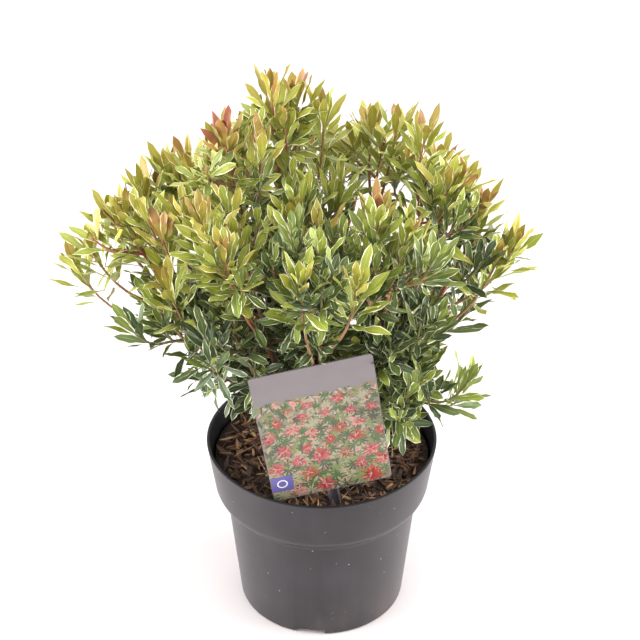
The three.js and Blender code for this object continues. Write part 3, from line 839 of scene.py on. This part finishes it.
def label_print():
    """A made-up print: a plain band above, and below it a field of round flowers and leaf stars."""
    rng = np.random.default_rng(23)
    ink = Print()
    wave = [(x, ink.edge_of_band(x)) for x in np.linspace(ink.right, -ink.right, 60)]
    ink.lay(0, [(-ink.right, ink.foot), (ink.right, ink.foot), *wave], "ground")
    for spot in ink.lattice(PRINT.rows, PRINT.columns):
        leaf_star(ink, rng, *spot)
    for x, z, *spot in ink.lattice(PRINT.flower_rows, PRINT.flower_columns):
        beside_badge = x >= -ink.right + BADGE.width + BADGE.clear
        over_badge = z >= ink.foot + BADGE.up + BADGE.height + BADGE.clear
        if (beside_badge or over_badge) and rng.uniform() >= PRINT.left_out:
            flower(ink, rng, x, z, *spot)
    badge(ink)
    ink.sheaf.piece("label_print", "label_plastic")


def leaf_star(ink, rng, x, z, near, layer):
    """Strewn dashes, and over them a star of nine leaves."""
    for n in range(7):
        tone = pick(rng, "shade mist mist pale blush amber")
        start = (x + rng.normal(0, 0.0024), z + rng.normal(0, 0.0024))
        ink.lay(1 + layer, petal(start, rng.uniform(0, tau), rng.uniform(0.004, 0.008), 0.0014), tone)
    tone = pick(rng, "leaf sap leaf pale shade")
    turn = rng.uniform(0, tau)
    place = (x + rng.normal(0, 0.0015), z + rng.normal(0, 0.0015))
    for n in range(9):
        reach = rng.uniform(0.0034, 0.0066) * (0.6 + 0.8 * near)
        ray = tone if rng.uniform() < 0.75 else pick(rng, "leaf sap pale shade")
        ink.lay(5 + layer, petal(place, turn + n * tau / 9, reach, 0.0013), ray)


def flower(ink, rng, x, z, near, layer):
    """A ring of thin petals round a small heart."""
    tone = pick(rng, "coral rose blush coral rose amber")
    place = (x + rng.normal(0, 0.002), z + rng.normal(0, 0.0015))
    turn, size = rng.uniform(0, tau), rng.uniform(0.004, 0.006) * (0.75 + 0.7 * near)
    for n in range(21):
        ray = tone if rng.uniform() < 0.75 else pick(rng, "coral rose blush")
        angle = turn + n * tau / 21 + rng.normal(0, 0.1)
        ink.lay(9 + layer, petal(place, angle, size * rng.uniform(0.5, 1.2), size * 0.18), ray)
    for n in range(6):
        heart = pick(rng, "blush coral blush mist")
        reach = size * rng.uniform(0.25, 0.6)
        ink.lay(13, petal(place, turn + n * tau / 6, reach, size * 0.12), heart)


def badge(ink):
    """A square in the lower left corner, with a plain ring in it."""
    left, low = -ink.right, ink.foot + BADGE.up
    right, high = left + BADGE.width, low + BADGE.height
    ink.lay(14, [(left, low), (right, low), (right, high), (left, high)], "badge")
    inner, outer = BADGE.ring - BADGE.line, BADGE.ring
    for n in range(24):
        start, end = n * tau / 24, (n + 1) * tau / 24
        points = [((left + right) / 2 + r * cos(t), (low + high) / 2 + r * sin(t))
                  for r, t in ((inner, start), (outer, start), (outer, end), (inner, end))]
        ink.lay(15, points, "white")


# ---------- trunk and boughs ----------

TRUNK_FOOT = np.array([0, 0, SOIL_HEIGHT + GAP])
TRUNK_CURVE = Curve(
    TRUNK_FOOT,
    TRUNK_FOOT + UP * TRUNK.height * TRUNK.straight,
    TRUNK_FOOT + np.array([*TRUNK.lean, TRUNK.height]),
)


def trunk_radius(share):
    flare = max(0.0, 1 - share * TRUNK.height / TRUNK.flare) ** 2
    return taper(TRUNK.radius, TRUNK.top_radius)(share) + (TRUNK.foot_radius - TRUNK.radius) * flare


class Mass:
    """One mass of foliage: its heart, its growth, and the bough that carries it."""

    def __init__(self, number, name, azimuth, reach, height, spread, parent, at):
        self.seed, self.name, self.azimuth = FIRST_SEED + number, name, azimuth
        self.heart, self.spread = polar(azimuth, reach, height), spread
        self.parent, self.at = parent, at
        crown_foot = UP * (SOIL_HEIGHT + TRUNK.height)
        self.growth = unit(unit(self.heart - crown_foot) + UP * BOUGH.lift)
        self.radius = BOUGH.radius if parent == "trunk" else BOUGH.fork_radius

    def draw_bough(self, masses):
        """The bough's curve, from the trunk or from another mass's bough."""
        end = self.heart - self.growth * BOUGH.stem_share * self.spread
        if self.parent == "trunk":
            start = TRUNK_CURVE.at(min(1, self.at / TRUNK.height))
            on_top = self.at >= TRUNK.height
            leave = polar(self.azimuth, 1, BOUGH.top_rise if on_top else BOUGH.rise)
        else:
            parent = masses[self.parent].draw_bough(masses)
            start = parent.at(self.at)
            leave = parent.heading(self.at) + BOUGH.turn_out * unit(end - start)
        handle = BOUGH.handle * np.linalg.norm(end - start)
        self.bough = Curve(start, start + unit(leave) * handle, end - self.growth * handle, end)
        return self.bough


def grow_masses():
    masses = {row[0]: Mass(n, *row) for n, row in enumerate(MASSES)}
    for mass in masses.values():
        mass.draw_bough(masses)
    return masses


def stems(masses):
    """Trunk and boughs in one skin of bark, each bough swelling into the limb that it leaves."""
    sheaf = Sheaf([stem_bark()])
    sheaf.add(*tube(TRUNK_CURVE, trunk_radius, 40, 30, relief=0.09))
    for mass in masses.values():
        def radius_at(share, mass=mass):
            collar = BOUGH.collar * max(0, 1 - share / BOUGH.collar_share) ** 2
            return taper(mass.radius, BOUGH.tip_radius)(share) + collar

        sheaf.add(*tube(mass.bough, radius_at, 14, 34, relief=0.12))
    sheaf.piece("stems", "stem_bark", "trunk", *(f"bough_{name}" for name in masses))


# ---------- the room for leaves ----------

# The gaps that leaves and twigs keep, how far each mass reaches into its neighbours' cells, and how
# steeply leaves rise in front of the card.
ROOM = Sizes(
    limb=0.0009, pot=0.001, lip=0.003, soil=0.004, card_back=0.0012, cell=0.008, card_rise=0.85,
)


def roof(x, y):
    """How high all but the tall shoots reach: it falls from a peak to the left, right and back."""
    off = x - CROWN.peak[0]
    fall = np.where(off < 0, -CROWN.left_fall * off, CROWN.right_fall * off)
    fall = fall + np.maximum(0, x - CROWN.shoulder) + CROWN.back_fall * np.maximum(0, y)
    return CROWN.peak[1] - fall


def under_roof(points):
    return (points[:, 2] < roof(points[:, 0], points[:, 1])).all()


class Room:
    """What leaves and twigs keep clear of."""

    def __init__(self, masses):
        limbs = [(TRUNK_CURVE, trunk_radius)]
        limbs += [(mass.bough, taper(mass.radius, BOUGH.tip_radius)) for mass in masses.values()]
        shares = np.linspace(0, 1, 9)
        places = np.array([curve.at(shares) for curve, _ in limbs])
        self.starts, self.ends = places[:, :-1].reshape(-1, 3), places[:, 1:].reshape(-1, 3)
        self.radii = np.array([radius_at(share) for _, radius_at in limbs for share in shares[:-1]])
        self.hearts = np.array([mass.heart for mass in masses.values()])
        self.spreads = np.array([mass.spread for mass in masses.values()])
        self.card = np.array(CARD_PLACE.inverted())

    def clear_of_limbs(self, points):
        along = self.ends - self.starts
        offset = points[:, None] - self.starts
        share = np.clip((offset * along).sum(2) / (along ** 2).sum(1), 0, 1)
        nearest = self.starts + share[..., None] * along
        gaps = np.linalg.norm(points[:, None] - nearest, axis=2)
        return (gaps > self.radii + ROOM.limb).all()

    def inside_cell(self, mass, points):
        """Nearer to a mass's heart than to the others', or anywhere where no mass is given."""
        if mass is None:
            return True
        across = self.hearts - mass.heart
        width = np.linalg.norm(across, axis=1)
        others = width > 1e-6
        across, width = across[others], width[others]
        bias = (mass.spread ** 2 - self.spreads[others] ** 2) / (2 * width)
        along = ((points - mass.heart) @ across.T) / width
        return (along < width / 2 + bias + ROOM.cell).all()

    def clear_of_pot(self, points):
        reach = np.hypot(points[:, 0], points[:, 1])
        above = points[:, 2] > POT.rim_height + ROOM.pot
        outside = reach > POT.rim + ROOM.pot
        inside = (reach < POT.lip - ROOM.lip) & (points[:, 2] > SOIL_HEIGHT + ROOM.soil)
        return (above | outside | inside).all()

    def clear_of_card(self, points):
        local = points @ self.card[:3, :3].T + self.card[:3, 3]
        before = np.maximum(0, -local[:, 1])
        beside = np.abs(local[:, 0]) > CARD.width / 2
        over = local[:, 2] > CARD.height / 2 + ROOM.card_rise * before
        return (beside | over | (local[:, 1] > CARD.thickness + ROOM.card_back)).all()

    def fits(self, mass, points):
        return (
            self.clear_of_pot(points)
            and self.clear_of_card(points)
            and self.inside_cell(mass, points)
            and self.clear_of_limbs(points)
        )


# ---------- shoots ----------

# A leafy stem: its curve, thickness, freshness (0 to 1) and row of leaves, how red it turns towards
#  its tip, how much lighter its spray's tints are (painted light where light falls on the crown, and
#  chance), and whether it stands out of the crown.
Stem = namedtuple("Stem", "curve radius flush row warmth tone tall", defaults=(0.5, 0.0, False))

# A row of leaves on a stem: how many, from which share of the stem down to which, their pitch
# from the stem at the top and at the foot (degrees), their length and width, how much fresher (1)
# or older (0) they are than the stem, how they crowd towards the top, and how long the topmost is.
Row = namedtuple("Row", "count top foot pitch length width youth crowding bud", defaults=(1, 0.62))
YEAR_LEAVES = Row(12, 1.0, 0.12, (15, 45), 0.0275, 0.0067, 1)
RISER_LEAVES = YEAR_LEAVES._replace(count=14, foot=0.5, pitch=(15, 50))
TALL_LEAVES = YEAR_LEAVES._replace(pitch=(14, 60), length=0.031, width=0.0073, crowding=1.25, bud=0.64)
SPRIG_LEAVES = Row(10, 1.0, 0.25, (16, 56), 0.023, 0.0056, 0.7)
INNER_LEAVES = SPRIG_LEAVES._replace(count=14, foot=0.1, pitch=(24, 80), youth=0.2)
OLD_LEAVES = Row(9, 0.95, 0.2, (45, 85), 0.0235, 0.0052, 0.25)
FEW_OLD_LEAVES = OLD_LEAVES._replace(count=2, top=0.4)
BOUGH_LEAVES = OLD_LEAVES._replace(count=20, top=0.97, foot=0.35, youth=0)
FEW_BOUGH_LEAVES = BOUGH_LEAVES._replace(count=8)
BARE_SHARE = 0.92
FLUSH = Sizes(foot=0.212, rise=0.105, aside=0.5, inner=0.07, depth=0.13, outward=0.35)
# Painted light on the leaves' tints, lighter towards the crown's outside and low on its right, and the
# spread of a random tone.
TONE = Sizes(inner=0.05, depth=0.06, outward=0.5, right=0.03, low=0.25, low_right=1.1, chance=0.5)


def flush_at(tip, mass=None):
    """Fresh growth by place: none low down and inside, full at the top and outer tips, less on the
    right and in front, and less again in the shaded front masses as painted shade."""
    x, y, z = tip
    height = (z - FLUSH.foot - FLUSH.aside * max(0, x) - FLUSH.aside * max(0, -y)) / FLUSH.rise
    outward = (hypot(x, y) - FLUSH.inner) / FLUSH.depth
    # painted shade: the shaded front masses take a smaller share of the fresh tints
    dim = PAINTED_SHADE_MASSES.get(mass.name, 1) if mass else 1
    return dim * min(1.0, max(0.0, height + FLUSH.outward * outward))


def painted_light_and_chance_at(tip, rng):
    """How much lighter a spray's tints are: painted light on the crown's outside and low on its right,
    where light falls, and a random tone by chance.
    """
    x, y, z = tip
    # Painted light: lighter tints on the crown's outside and on its low right, where light falls.
    outward = (hypot(x, y) - TONE.inner) / TONE.depth
    low_right = x > TONE.right and z < TONE.low
    steady = TONE.outward * min(1, max(0, outward)) + TONE.low_right * low_right
    return steady + rng.normal(0, TONE.chance)


def shoots_of(mass, rand):
    """The leader that carries the bough on, and side shoots by turns of the golden angle."""
    growth, heart, spread = mass.growth, mass.heart, mass.spread
    sides = sides_of(growth)
    foot = mass.bough.at(1) + growth * GAP
    leader = Curve(foot, foot + growth * spread * LEADER.bend, heart + growth * spread)
    shoots = [leader]
    first_turn = next(rand) * tau
    for n in range(SIDE_SHOOTS.count):
        share = n / (SIDE_SHOOTS.count - 1)
        fork = SIDE_SHOOTS.fork - SIDE_SHOOTS.fork_drop * share
        sideways = around(sides, first_turn + (n + 1) * GOLDEN_TURN)
        fall = SIDE_SHOOTS.angle_fall * share + SIDE_SHOOTS.angle_scatter * next(rand)
        angle = radians(SIDE_SHOOTS.angle + fall)
        tip = heart + (growth * cos(angle) + sideways * sin(angle)) * spread
        start = leader.at(fork)
        leave = unit(leader.heading(fork) + sideways)
        bend = start + leave * SIDE_SHOOTS.bend * np.linalg.norm(tip - start)
        shoots.append(Curve(start, bend, tip))
    return shoots


def upward(start):
    """The way that this year's growth turns from a place: up, and out to the left and right."""
    return np.array([YEAR_SHOOT.lean * start[0] / POT.rim, 0, YEAR_SHOOT.rise])


def year_shoot(curve, rng):
    """This year's growth, which carries a shoot on and turns up."""
    start, heading = curve.at(1), curve.heading(1)
    length = YEAR_SHOOT.length * rng.uniform(0.7, 1.2)
    length = max(YEAR_SHOOT.least, min(length, roof(start[0], start[1]) - CROWN.leaf - start[2]))
    rise = unit(heading + upward(start) + rng.normal(0, 0.12, 3))
    tip = start + heading * length * 0.25 + rise * length * 0.75
    return Curve(start, start + heading * length * 0.4, tip)


def tall_shoot(mass, share, tip):
    """A long shoot, bent low down and straight above, that ends at a given place."""
    start = mass.bough.at(share)
    length = np.linalg.norm(tip - start)
    rise = unit(np.array([TALL.lean * tip[0] / POT.rim, TALL.lean * tip[1] / POT.rim, TALL.rise]))
    leave = start + mass.bough.heading(share) * length * 0.3
    return Curve(start, leave, tip - rise * length * TALL.straight, tip)


def risers_of(mass, rng):
    """Long straight shoots that stand up from a bough, bare below and leafy at the top."""
    risers = []
    ceiling = mass.heart[2] + RISERS.top * mass.spread
    for n in range(RISERS.count):
        share = RISERS.first + RISERS.step * n + rng.uniform(-0.06, 0.06)
        start = mass.bough.at(share)
        length = min(RISERS.length * rng.uniform(0.8, 1.15), ceiling - start[2])
        out = unit(mass.bough.heading(share) + rng.normal(0, 0.4, 3))
        bend = start + out * length * RISERS.out
        rise = unit(upward(start) + rng.normal(0, 0.3, 3))
        risers.append(Curve(start, bend, bend + rise * length * (1 - RISERS.out)))
    return risers


def sprigs_of(curve, kind, rng):
    """Finer twigs that leave a limb below its tip and turn up."""
    sprigs = []
    first_turn = rng.uniform(0, tau)
    for n in range(kind.count):
        share = kind.first + kind.step * n + rng.uniform(-0.06, 0.06)
        heading = curve.heading(share)
        sideways = around(sides_of(heading), first_turn + n * GOLDEN_TURN)
        length = kind.length * rng.uniform(0.75, 1.2)
        start = curve.at(share)
        bend = start + unit(heading + sideways * 1.2) * length * 0.5
        tip = bend + unit(heading * 0.3 + sideways * 0.3 + UP) * length * 0.5
        sprigs.append(Curve(start, bend, tip))
    return sprigs


# ---------- leaves ----------

# Colours of a leaf by how young it is, oldest first: blade, edge and midrib.
TINTS = [
    ("deep", "3a492b", "bcbe9c", "5e7048"),
    ("dark", "4c5b2d", "cacca8", "70824c"),
    ("green", "697632", "dcdcb6", "8a9c4e"),
    ("mid", "859039", "eeecc8", "a2aa50"),
    ("fresh", "91993d", "efecc6", "b0b452"),
    ("lime", "9a9c3e", "ece6ba", "b4b050"),
    ("lemon", "9d953e", "e8deb0", "b4a650"),
    ("olive", "99843c", "dccc9c", "a8944c"),
    ("amber", "94703b", "d2b88c", "9a784e"),
    ("bronze", "8e5c3a", "cca484", "906240"),
    ("copper", "885038", "c69074", "88523a"),
    ("salmon", "90402c", "c47e66", "8c3a2a"),
]
# Numbers in that table: a fresh leaf's, the last one of most leaves, and the last one of all.
LIME, BRONZE, YOUNGEST = 5, 9, len(TINTS) - 1
# Places on a leaf, by share of its length and of its half-width, with its tip's tint from a row
# on, and the places where it has to be clear of other things.
ROWS, TIP_ROW = np.array([0, 0.12, 0.27, 0.42, 0.56, 0.7, 0.85, 1]), 4
MARGIN = 0.83
COLUMNS = np.array([-1, -MARGIN, -0.06, 0, 0.06, MARGIN, 1])
PROBES = np.array([0.12, 0.3, 0.5, 0.68, 0.85, 1.0])
FOOT_TAPER, TIP_TAPER, LEAST_WIDTH = 1.7, 0.82, 0.12
TURNS_TRIED = (0, 35, -35, 75)


def leaf_outline():
    """Half-width along a leaf, 1 at its widest: a narrow foot, a broad upper half, a point."""
    shares = ROWS[:-1]
    swell = shares ** FOOT_TAPER * (1 - shares) ** TIP_TAPER
    widest = FOOT_TAPER / (FOOT_TAPER + TIP_TAPER)
    fullest = widest ** FOOT_TAPER * (1 - widest) ** TIP_TAPER
    return np.maximum(swell / fullest, LEAST_WIDTH)


def leaf_faces():
    """The faces of one leaf, with the part (blade 0, edge 1, midrib 2) and the row of each."""
    columns, last = len(COLUMNS), len(ROWS) - 2
    faces, parts = [], []
    for row in range(last + 1):
        for column, part in enumerate((1, 0, 2, 2, 0, 1)):
            a = row * columns + column
            above = (a + 1 + columns, a + columns) if row < last else ((last + 1) * columns,)
            faces.append((a, a + 1, *above))
            parts.append((part, row))
    return faces, parts


class Leaves:
    """The leaves of one mass, each told by its root, its directions and its shape."""

    def __init__(self):
        self.rows, self.tints = [], []

    def add(self, tints, root, direction, face, *shape):
        """One leaf; its shape is its length, width, fold, bend, twist and margin."""
        self.rows.append([*root, *direction, *face, *shape])
        self.tints.append(tints)

    def corners(self, rng):
        """All leaves' corners at once: leaves, places on a leaf, and x y z."""
        table = np.array(self.rows)
        root, direction, face = table[:, None, 0:3], table[:, None, 3:6], table[:, None, 6:9]
        length, width, fold, bend, twist, margin = (table[:, 9 + n, None] for n in range(6))
        side = np.cross(direction, face)
        shares = np.append(np.repeat(ROWS[:-1], len(COLUMNS)), 1.0)[None]
        across = np.append(np.tile(COLUMNS, len(ROWS) - 1), 0.0)[None]
        wander = margin + 0.13 * np.sin(shares * 19 + across + rng.uniform(0, tau, (len(table), 1)))
        across = np.where(np.abs(across) == MARGIN, np.sign(across) * wander, across)
        half = np.append(np.repeat(leaf_outline(), len(COLUMNS)), 0.0)[None] * width / 2
        ripple = 0.24 * np.sin(shares * 11 + rng.uniform(0, tau, (len(table), 1)))
        angle = bend * shares
        steady = np.where(np.abs(bend) < 1e-3, 1e-3, bend)
        along = length * np.sin(steady * shares) / steady
        down = length * (1 - np.cos(steady * shares)) / steady
        out = half * across * np.cos(fold)
        up = half * (np.abs(across) * np.sin(fold) - 0.22 * across ** 2 + ripple * across)
        turn = twist * shares
        rolled_out = out * np.cos(turn) - up * np.sin(turn)
        rolled_up = out * np.sin(turn) + up * np.cos(turn)
        middle = root + direction * along[..., None] - face * down[..., None]
        normal = face * np.cos(angle)[..., None] + direction * np.sin(angle)[..., None]
        return middle + side * rolled_out[..., None] + normal * rolled_up[..., None]

    def piece(self, mass, finishes, rng):
        faces, parts = leaf_faces()
        sheaf = Sheaf(finishes)
        for corners, (tint, tip_tint) in zip(self.corners(rng), self.tints):
            numbers = [3 * (tint if row < TIP_ROW else tip_tint) + part for part, row in parts]
            sheaf.add(corners, faces, numbers)
        sheaf.piece(f"leaves_{mass.name}", "leaves", f"foliage_{mass.name}")


def leaf_finishes():
    parts = (("blade", 0.42), ("edge", 0.5), ("midrib", 0.45))
    return [plain(f"leaf_{name}_{part}", code, roughness, specular_ior_level=0.36)
            for name, *codes in TINTS for code, (part, roughness) in zip(codes, parts)]


def dress(mass, stem, leaves, room, rng):
    """Sets a stem's leaves round it by turns of the golden angle, the youngest at its top."""
    row = stem.row
    young = row.youth
    cell = mass if 0 < young < 1 else None
    first_turn = rng.uniform(0, tau)
    for n in range(row.count):
        down = n / (row.count - 1)
        share = row.top - (row.top - row.foot) * down ** row.crowding
        axis = unit(stem.curve.heading(share) + UP * 0.6 * young)
        pitch = row.pitch[0] + (row.pitch[1] - row.pitch[0]) * down ** 0.8
        pitch = radians(pitch + rng.normal(0, 7))
        budding = 1 - young * (1 - min(1, row.bud + 1.3 * down))
        length = row.length * budding * rng.uniform(0.82, 1.15)
        for extra in TURNS_TRIED:
            outward = around(sides_of(axis), first_turn + n * GOLDEN_TURN + radians(extra))
            direction = axis * cos(pitch) + outward * sin(pitch)
            face = axis * sin(pitch) - outward * cos(pitch)
            roll = rng.normal(0, radians(10 + 22 * (1 - young)))
            face = face * cos(roll) + np.cross(direction, face) * sin(roll)
            root = stem.curve.at(share) + direction * stem.radius * 0.4
            bend = rng.uniform(-0.3, 0.25) + (1 - young) * rng.uniform(0.1, 0.8) + 0.2 * down
            probes = root + np.outer(PROBES * length, direction)
            probes -= np.outer(PROBES ** 2 * bend / 2 * length, face)
            if not (stem.tall or under_roof(probes)) or not room.fits(cell, probes):
                continue
            width = row.width * (0.6 + 0.4 * budding) * rng.uniform(0.82, 1.15)
            fold = radians(rng.uniform(8, 30))
            margin = MARGIN + 0.03 + 0.025 * young + rng.normal(0, 0.05)
            twist = rng.normal(0, 0.25 + 0.35 * (1 - young))
            tints = tints_of(stem, young, down, rng)
            leaves.add(tints, root, direction, face, length, width, fold, bend, twist, margin)
            break


def tints_of(stem, young, down, rng):
    """Tints of a leaf and its tip: lime where fresh, warmer towards the stem's tip, dark where old."""
    reddest = stem.warmth == REDDEST
    fade = (1.7 if stem.tall else 1) * down * young
    # Old leaves keep 0.45 of the fresh lime where growth is fresh: painted light that lifts the shade
    # inside the crown's top.
    green = LIME * (0.05 + 0.95 * stem.flush * (0.45 + 0.55 * young)) - fade
    near_tip = max(0, 1 - (2.2 if reddest else 1.6) * down) ** 1.2
    warm = (0.9 * stem.warmth + 0.3) * young * stem.flush * near_tip
    tint = green + warm + stem.tone + rng.normal(0, 0.6)
    tip = tint + young * stem.flush * rng.uniform(-0.4, 1.3)
    return tuple(min(YOUNGEST if reddest else BRONZE, max(0, round(t))) for t in (tint, tip))


TWIG_COLOURS = {"green": "6f6a42", "brown": "8a6648", "red": "945840", "crimson": "a4462e"}


def twig_finishes():
    return [plain(f"twig_{name}", code, 0.6) for name, code in TWIG_COLOURS.items()]


def twig_mesh(sheaf, stem, tip_radius, bud):
    """A stem with swellings at its leaves and, where it ends, a bud."""
    def radius_at(share):
        knot = 0.14 * sin(share * 40) ** 4
        return taper(stem.radius, tip_radius)(share) * (1 + knot)

    number = 0 if stem.flush < 0.25 else (1 if stem.warmth < 1.8 else 2)
    number = 3 if stem.warmth == REDDEST else number
    sheaf.add(*tube(stem.curve, radius_at, 7, 10), number)
    if bud:
        tip, heading = stem.curve.at(1), stem.curve.heading(1)
        swelling = Curve(tip - heading * 0.0004, tip + heading * 0.0014, tip + heading * 0.003)
        sheaf.add(*tube(swelling, bulge, 6, 4), number)


def bulge(share):
    """A bud's radius along it."""
    return 0.001 * sin(pi * (0.25 + 0.72 * share))


def grow(mass, room, rng):
    """All stems of a mass: shoots by the rule with this year's growth, tall shoots, risers, sprigs."""
    open_mass, airy = mass.name in OPEN_MASSES, mass.name in AIRY_MASSES
    shares = np.linspace(0.1, 1, 5)
    stems = []

    def add_sprigs(sprigs, cell, kind, row):
        for sprig in sprigs:
            if room.fits(cell, sprig.at(shares[1:])):
                tip = sprig.at(1)
                flush = flush_at(tip, mass) * kind.flush
                stems.append(Stem(sprig, kind.radius, flush, row, tone=painted_light_and_chance_at(tip, rng)))

    leader, *side_shoots = shoots_of(mass, seeded(mass.seed))
    side_shoots = [curve for curve in side_shoots if room.fits(mass, curve.at(shares))]
    for curve in (leader, *side_shoots):
        radius = LEADER.radius if curve is leader else SIDE_SHOOTS.radius
        flush, tone = flush_at(curve.at(1), mass), painted_light_and_chance_at(curve.at(1), rng)
        bare = open_mass or flush > 0.5 and rng.uniform() < BARE_SHARE
        sprigs = sprigs_of(curve, SPRIGS, rng)
        curve = curve.until(YEAR_SHOOT.start)
        warmth = rng.uniform(-0.4, 2.3)
        if open_mass or flush > 0.9 and rng.uniform() < 0.5:
            sprigs = [] if airy else sprigs[:1]
        stems.append(Stem(curve, radius, flush, FEW_OLD_LEAVES if bare else OLD_LEAVES, warmth, tone))
        tip = year_shoot(curve, rng)
        if room.fits(None, tip.at(shares[1:])):
            stems.append(Stem(tip, YEAR_SHOOT.radius, flush, YEAR_LEAVES, warmth, tone))
        add_sprigs(sprigs, mass, SPRIGS, SPRIG_LEAVES)
    for share, *tip, warmth, leafy in TALL_SHOOTS.get(mass.name, []):
        curve = tall_shoot(mass, share, np.array(tip) / 1000)
        leafy = leafy / 1000
        foot = max(0.1, 1 - leafy / curve.length)
        row = TALL_LEAVES._replace(count=round(TALL.leaves * leafy), foot=foot)
        # Painted shade: tall shoots in the shaded front masses get darker tints.
        flush = TALL.dim_flush if mass.name in PAINTED_SHADE_MASSES else 1.0
        stems.append(Stem(curve, TALL.radius, flush, row, warmth, tall=True))
    risers = risers_of(mass, rng)
    for riser in risers[:1] if airy else risers:
        if under_roof(riser.at(shares[1:])) and room.fits(None, riser.at(shares[1:])):
            flush, tone = max(0.6, flush_at(riser.at(1), mass)), painted_light_and_chance_at(riser.at(1), rng)
            stems.append(Stem(riser, RISERS.radius, flush, RISER_LEAVES, rng.uniform(0, 2.5), tone))
    inner = sprigs_of(mass.bough, INNER_SPRIGS, rng)
    add_sprigs(inner[::7 if airy else 3 if open_mass else 1], None, INNER_SPRIGS, INNER_LEAVES)
    return stems


def foliage(masses):
    room = Room(masses)
    blades, bark = leaf_finishes(), twig_finishes()
    for mass in masses.values():
        rng = np.random.default_rng(mass.seed)
        leaves, twigs = Leaves(), Sheaf(bark)
        for stem in grow(mass, room, rng):
            budding = stem.tall or stem.row in (YEAR_LEAVES, RISER_LEAVES)
            carried_on = stem.row in (OLD_LEAVES, FEW_OLD_LEAVES)
            twig_mesh(twigs, stem, YEAR_SHOOT.radius if carried_on else TWIG_TIP, budding)
            dress(mass, stem, leaves, room, rng)
        row = FEW_BOUGH_LEAVES if mass.name in OPEN_MASSES else BOUGH_LEAVES
        # Painted light: the bough leaves take part of the fresh tints to lift the shade inside the
        # crown.
        bough = Stem(mass.bough, BOUGH.tip_radius, flush_at(mass.heart) * BOUGH.flush, row)
        dress(mass, bough, leaves, room, rng)
        leaves.piece(mass, blades, rng)
        twigs.piece(f"twigs_{mass.name}", "stem_bark", f"foliage_{mass.name}")


# ---------- stage, light and camera ----------


def stage():
    """A plain pale floor that runs out of sight."""
    finish = Finish("floor_white", base_color="c4bfbf", roughness=0.9)
    mesh = bpy.data.meshes.new("floor")
    reach = 8
    corners = [(-reach, -reach, 0), (reach, -reach, 0), (reach, reach, 0), (-reach, reach, 0)]
    mesh.from_pydata(corners, [], [(0, 1, 2, 3)])
    mesh.materials.append(finish.material)
    floor = linked("floor", mesh)


AIM = Vector((0, 0, 0.25))


def softbox(name, place, size, power):
    light = bpy.data.lights.new(name, "AREA")
    light.shape = "RECTANGLE"
    light.size, light.size_y = size
    light.energy = power
    box = linked(name, light)
    box.location = place
    box.rotation_euler = (AIM - Vector(place)).to_track_quat("-Z", "Y").to_euler()


def lights():
    """Softboxes that aim at the crown's middle, and an even bright sky."""
    softbox("top", (0.0, -0.5, 2.2), (1.8, 1.4), 12)
    softbox("key_left", (-1.2, -1.2, 1.8), (1.6, 1.2), 5)
    softbox("key_right", (1.2, -1.1, 1.8), (1.6, 1.2), 9)
    softbox("side_left", (-0.97, -0.25, 0.3), (0.8, 0.8), 22)
    softbox("side_right", (1.0, -0.1, 0.3), (0.8, 0.8), 24)
    softbox("back_top", (0.2, 1.4, 1.6), (1.6, 1.0), 8)
    world = bpy.data.worlds.new("studio")
    world.use_nodes = True
    sky = world.node_tree.nodes["Background"].inputs
    sky["Color"].default_value = (1.0, 0.985, 0.98, 1)
    sky["Strength"].default_value = 1.54
    bpy.context.scene.world = world
    bpy.context.scene.view_settings.view_transform = "Standard"


CAMERA = Sizes(place=(-0.0012, -1.048, 0.912), pitch=33.19, lens=106.2, sensor=36)


def camera():
    data = bpy.data.cameras.new("camera")
    data.lens = CAMERA.lens
    data.sensor_width = CAMERA.sensor
    eye = linked("camera", data)
    eye.location = CAMERA.place
    eye.rotation_euler = (radians(90 - CAMERA.pitch), 0, 0)
    bpy.context.scene.camera = eye


# ---------- the whole ----------

camera()
lights()
stage()
pot()
mulch_bed()
mulch_chips()
mulch_strands()
label_card()
label_stake()
label_print()
all_masses = grow_masses()
stems(all_masses)
foliage(all_masses)
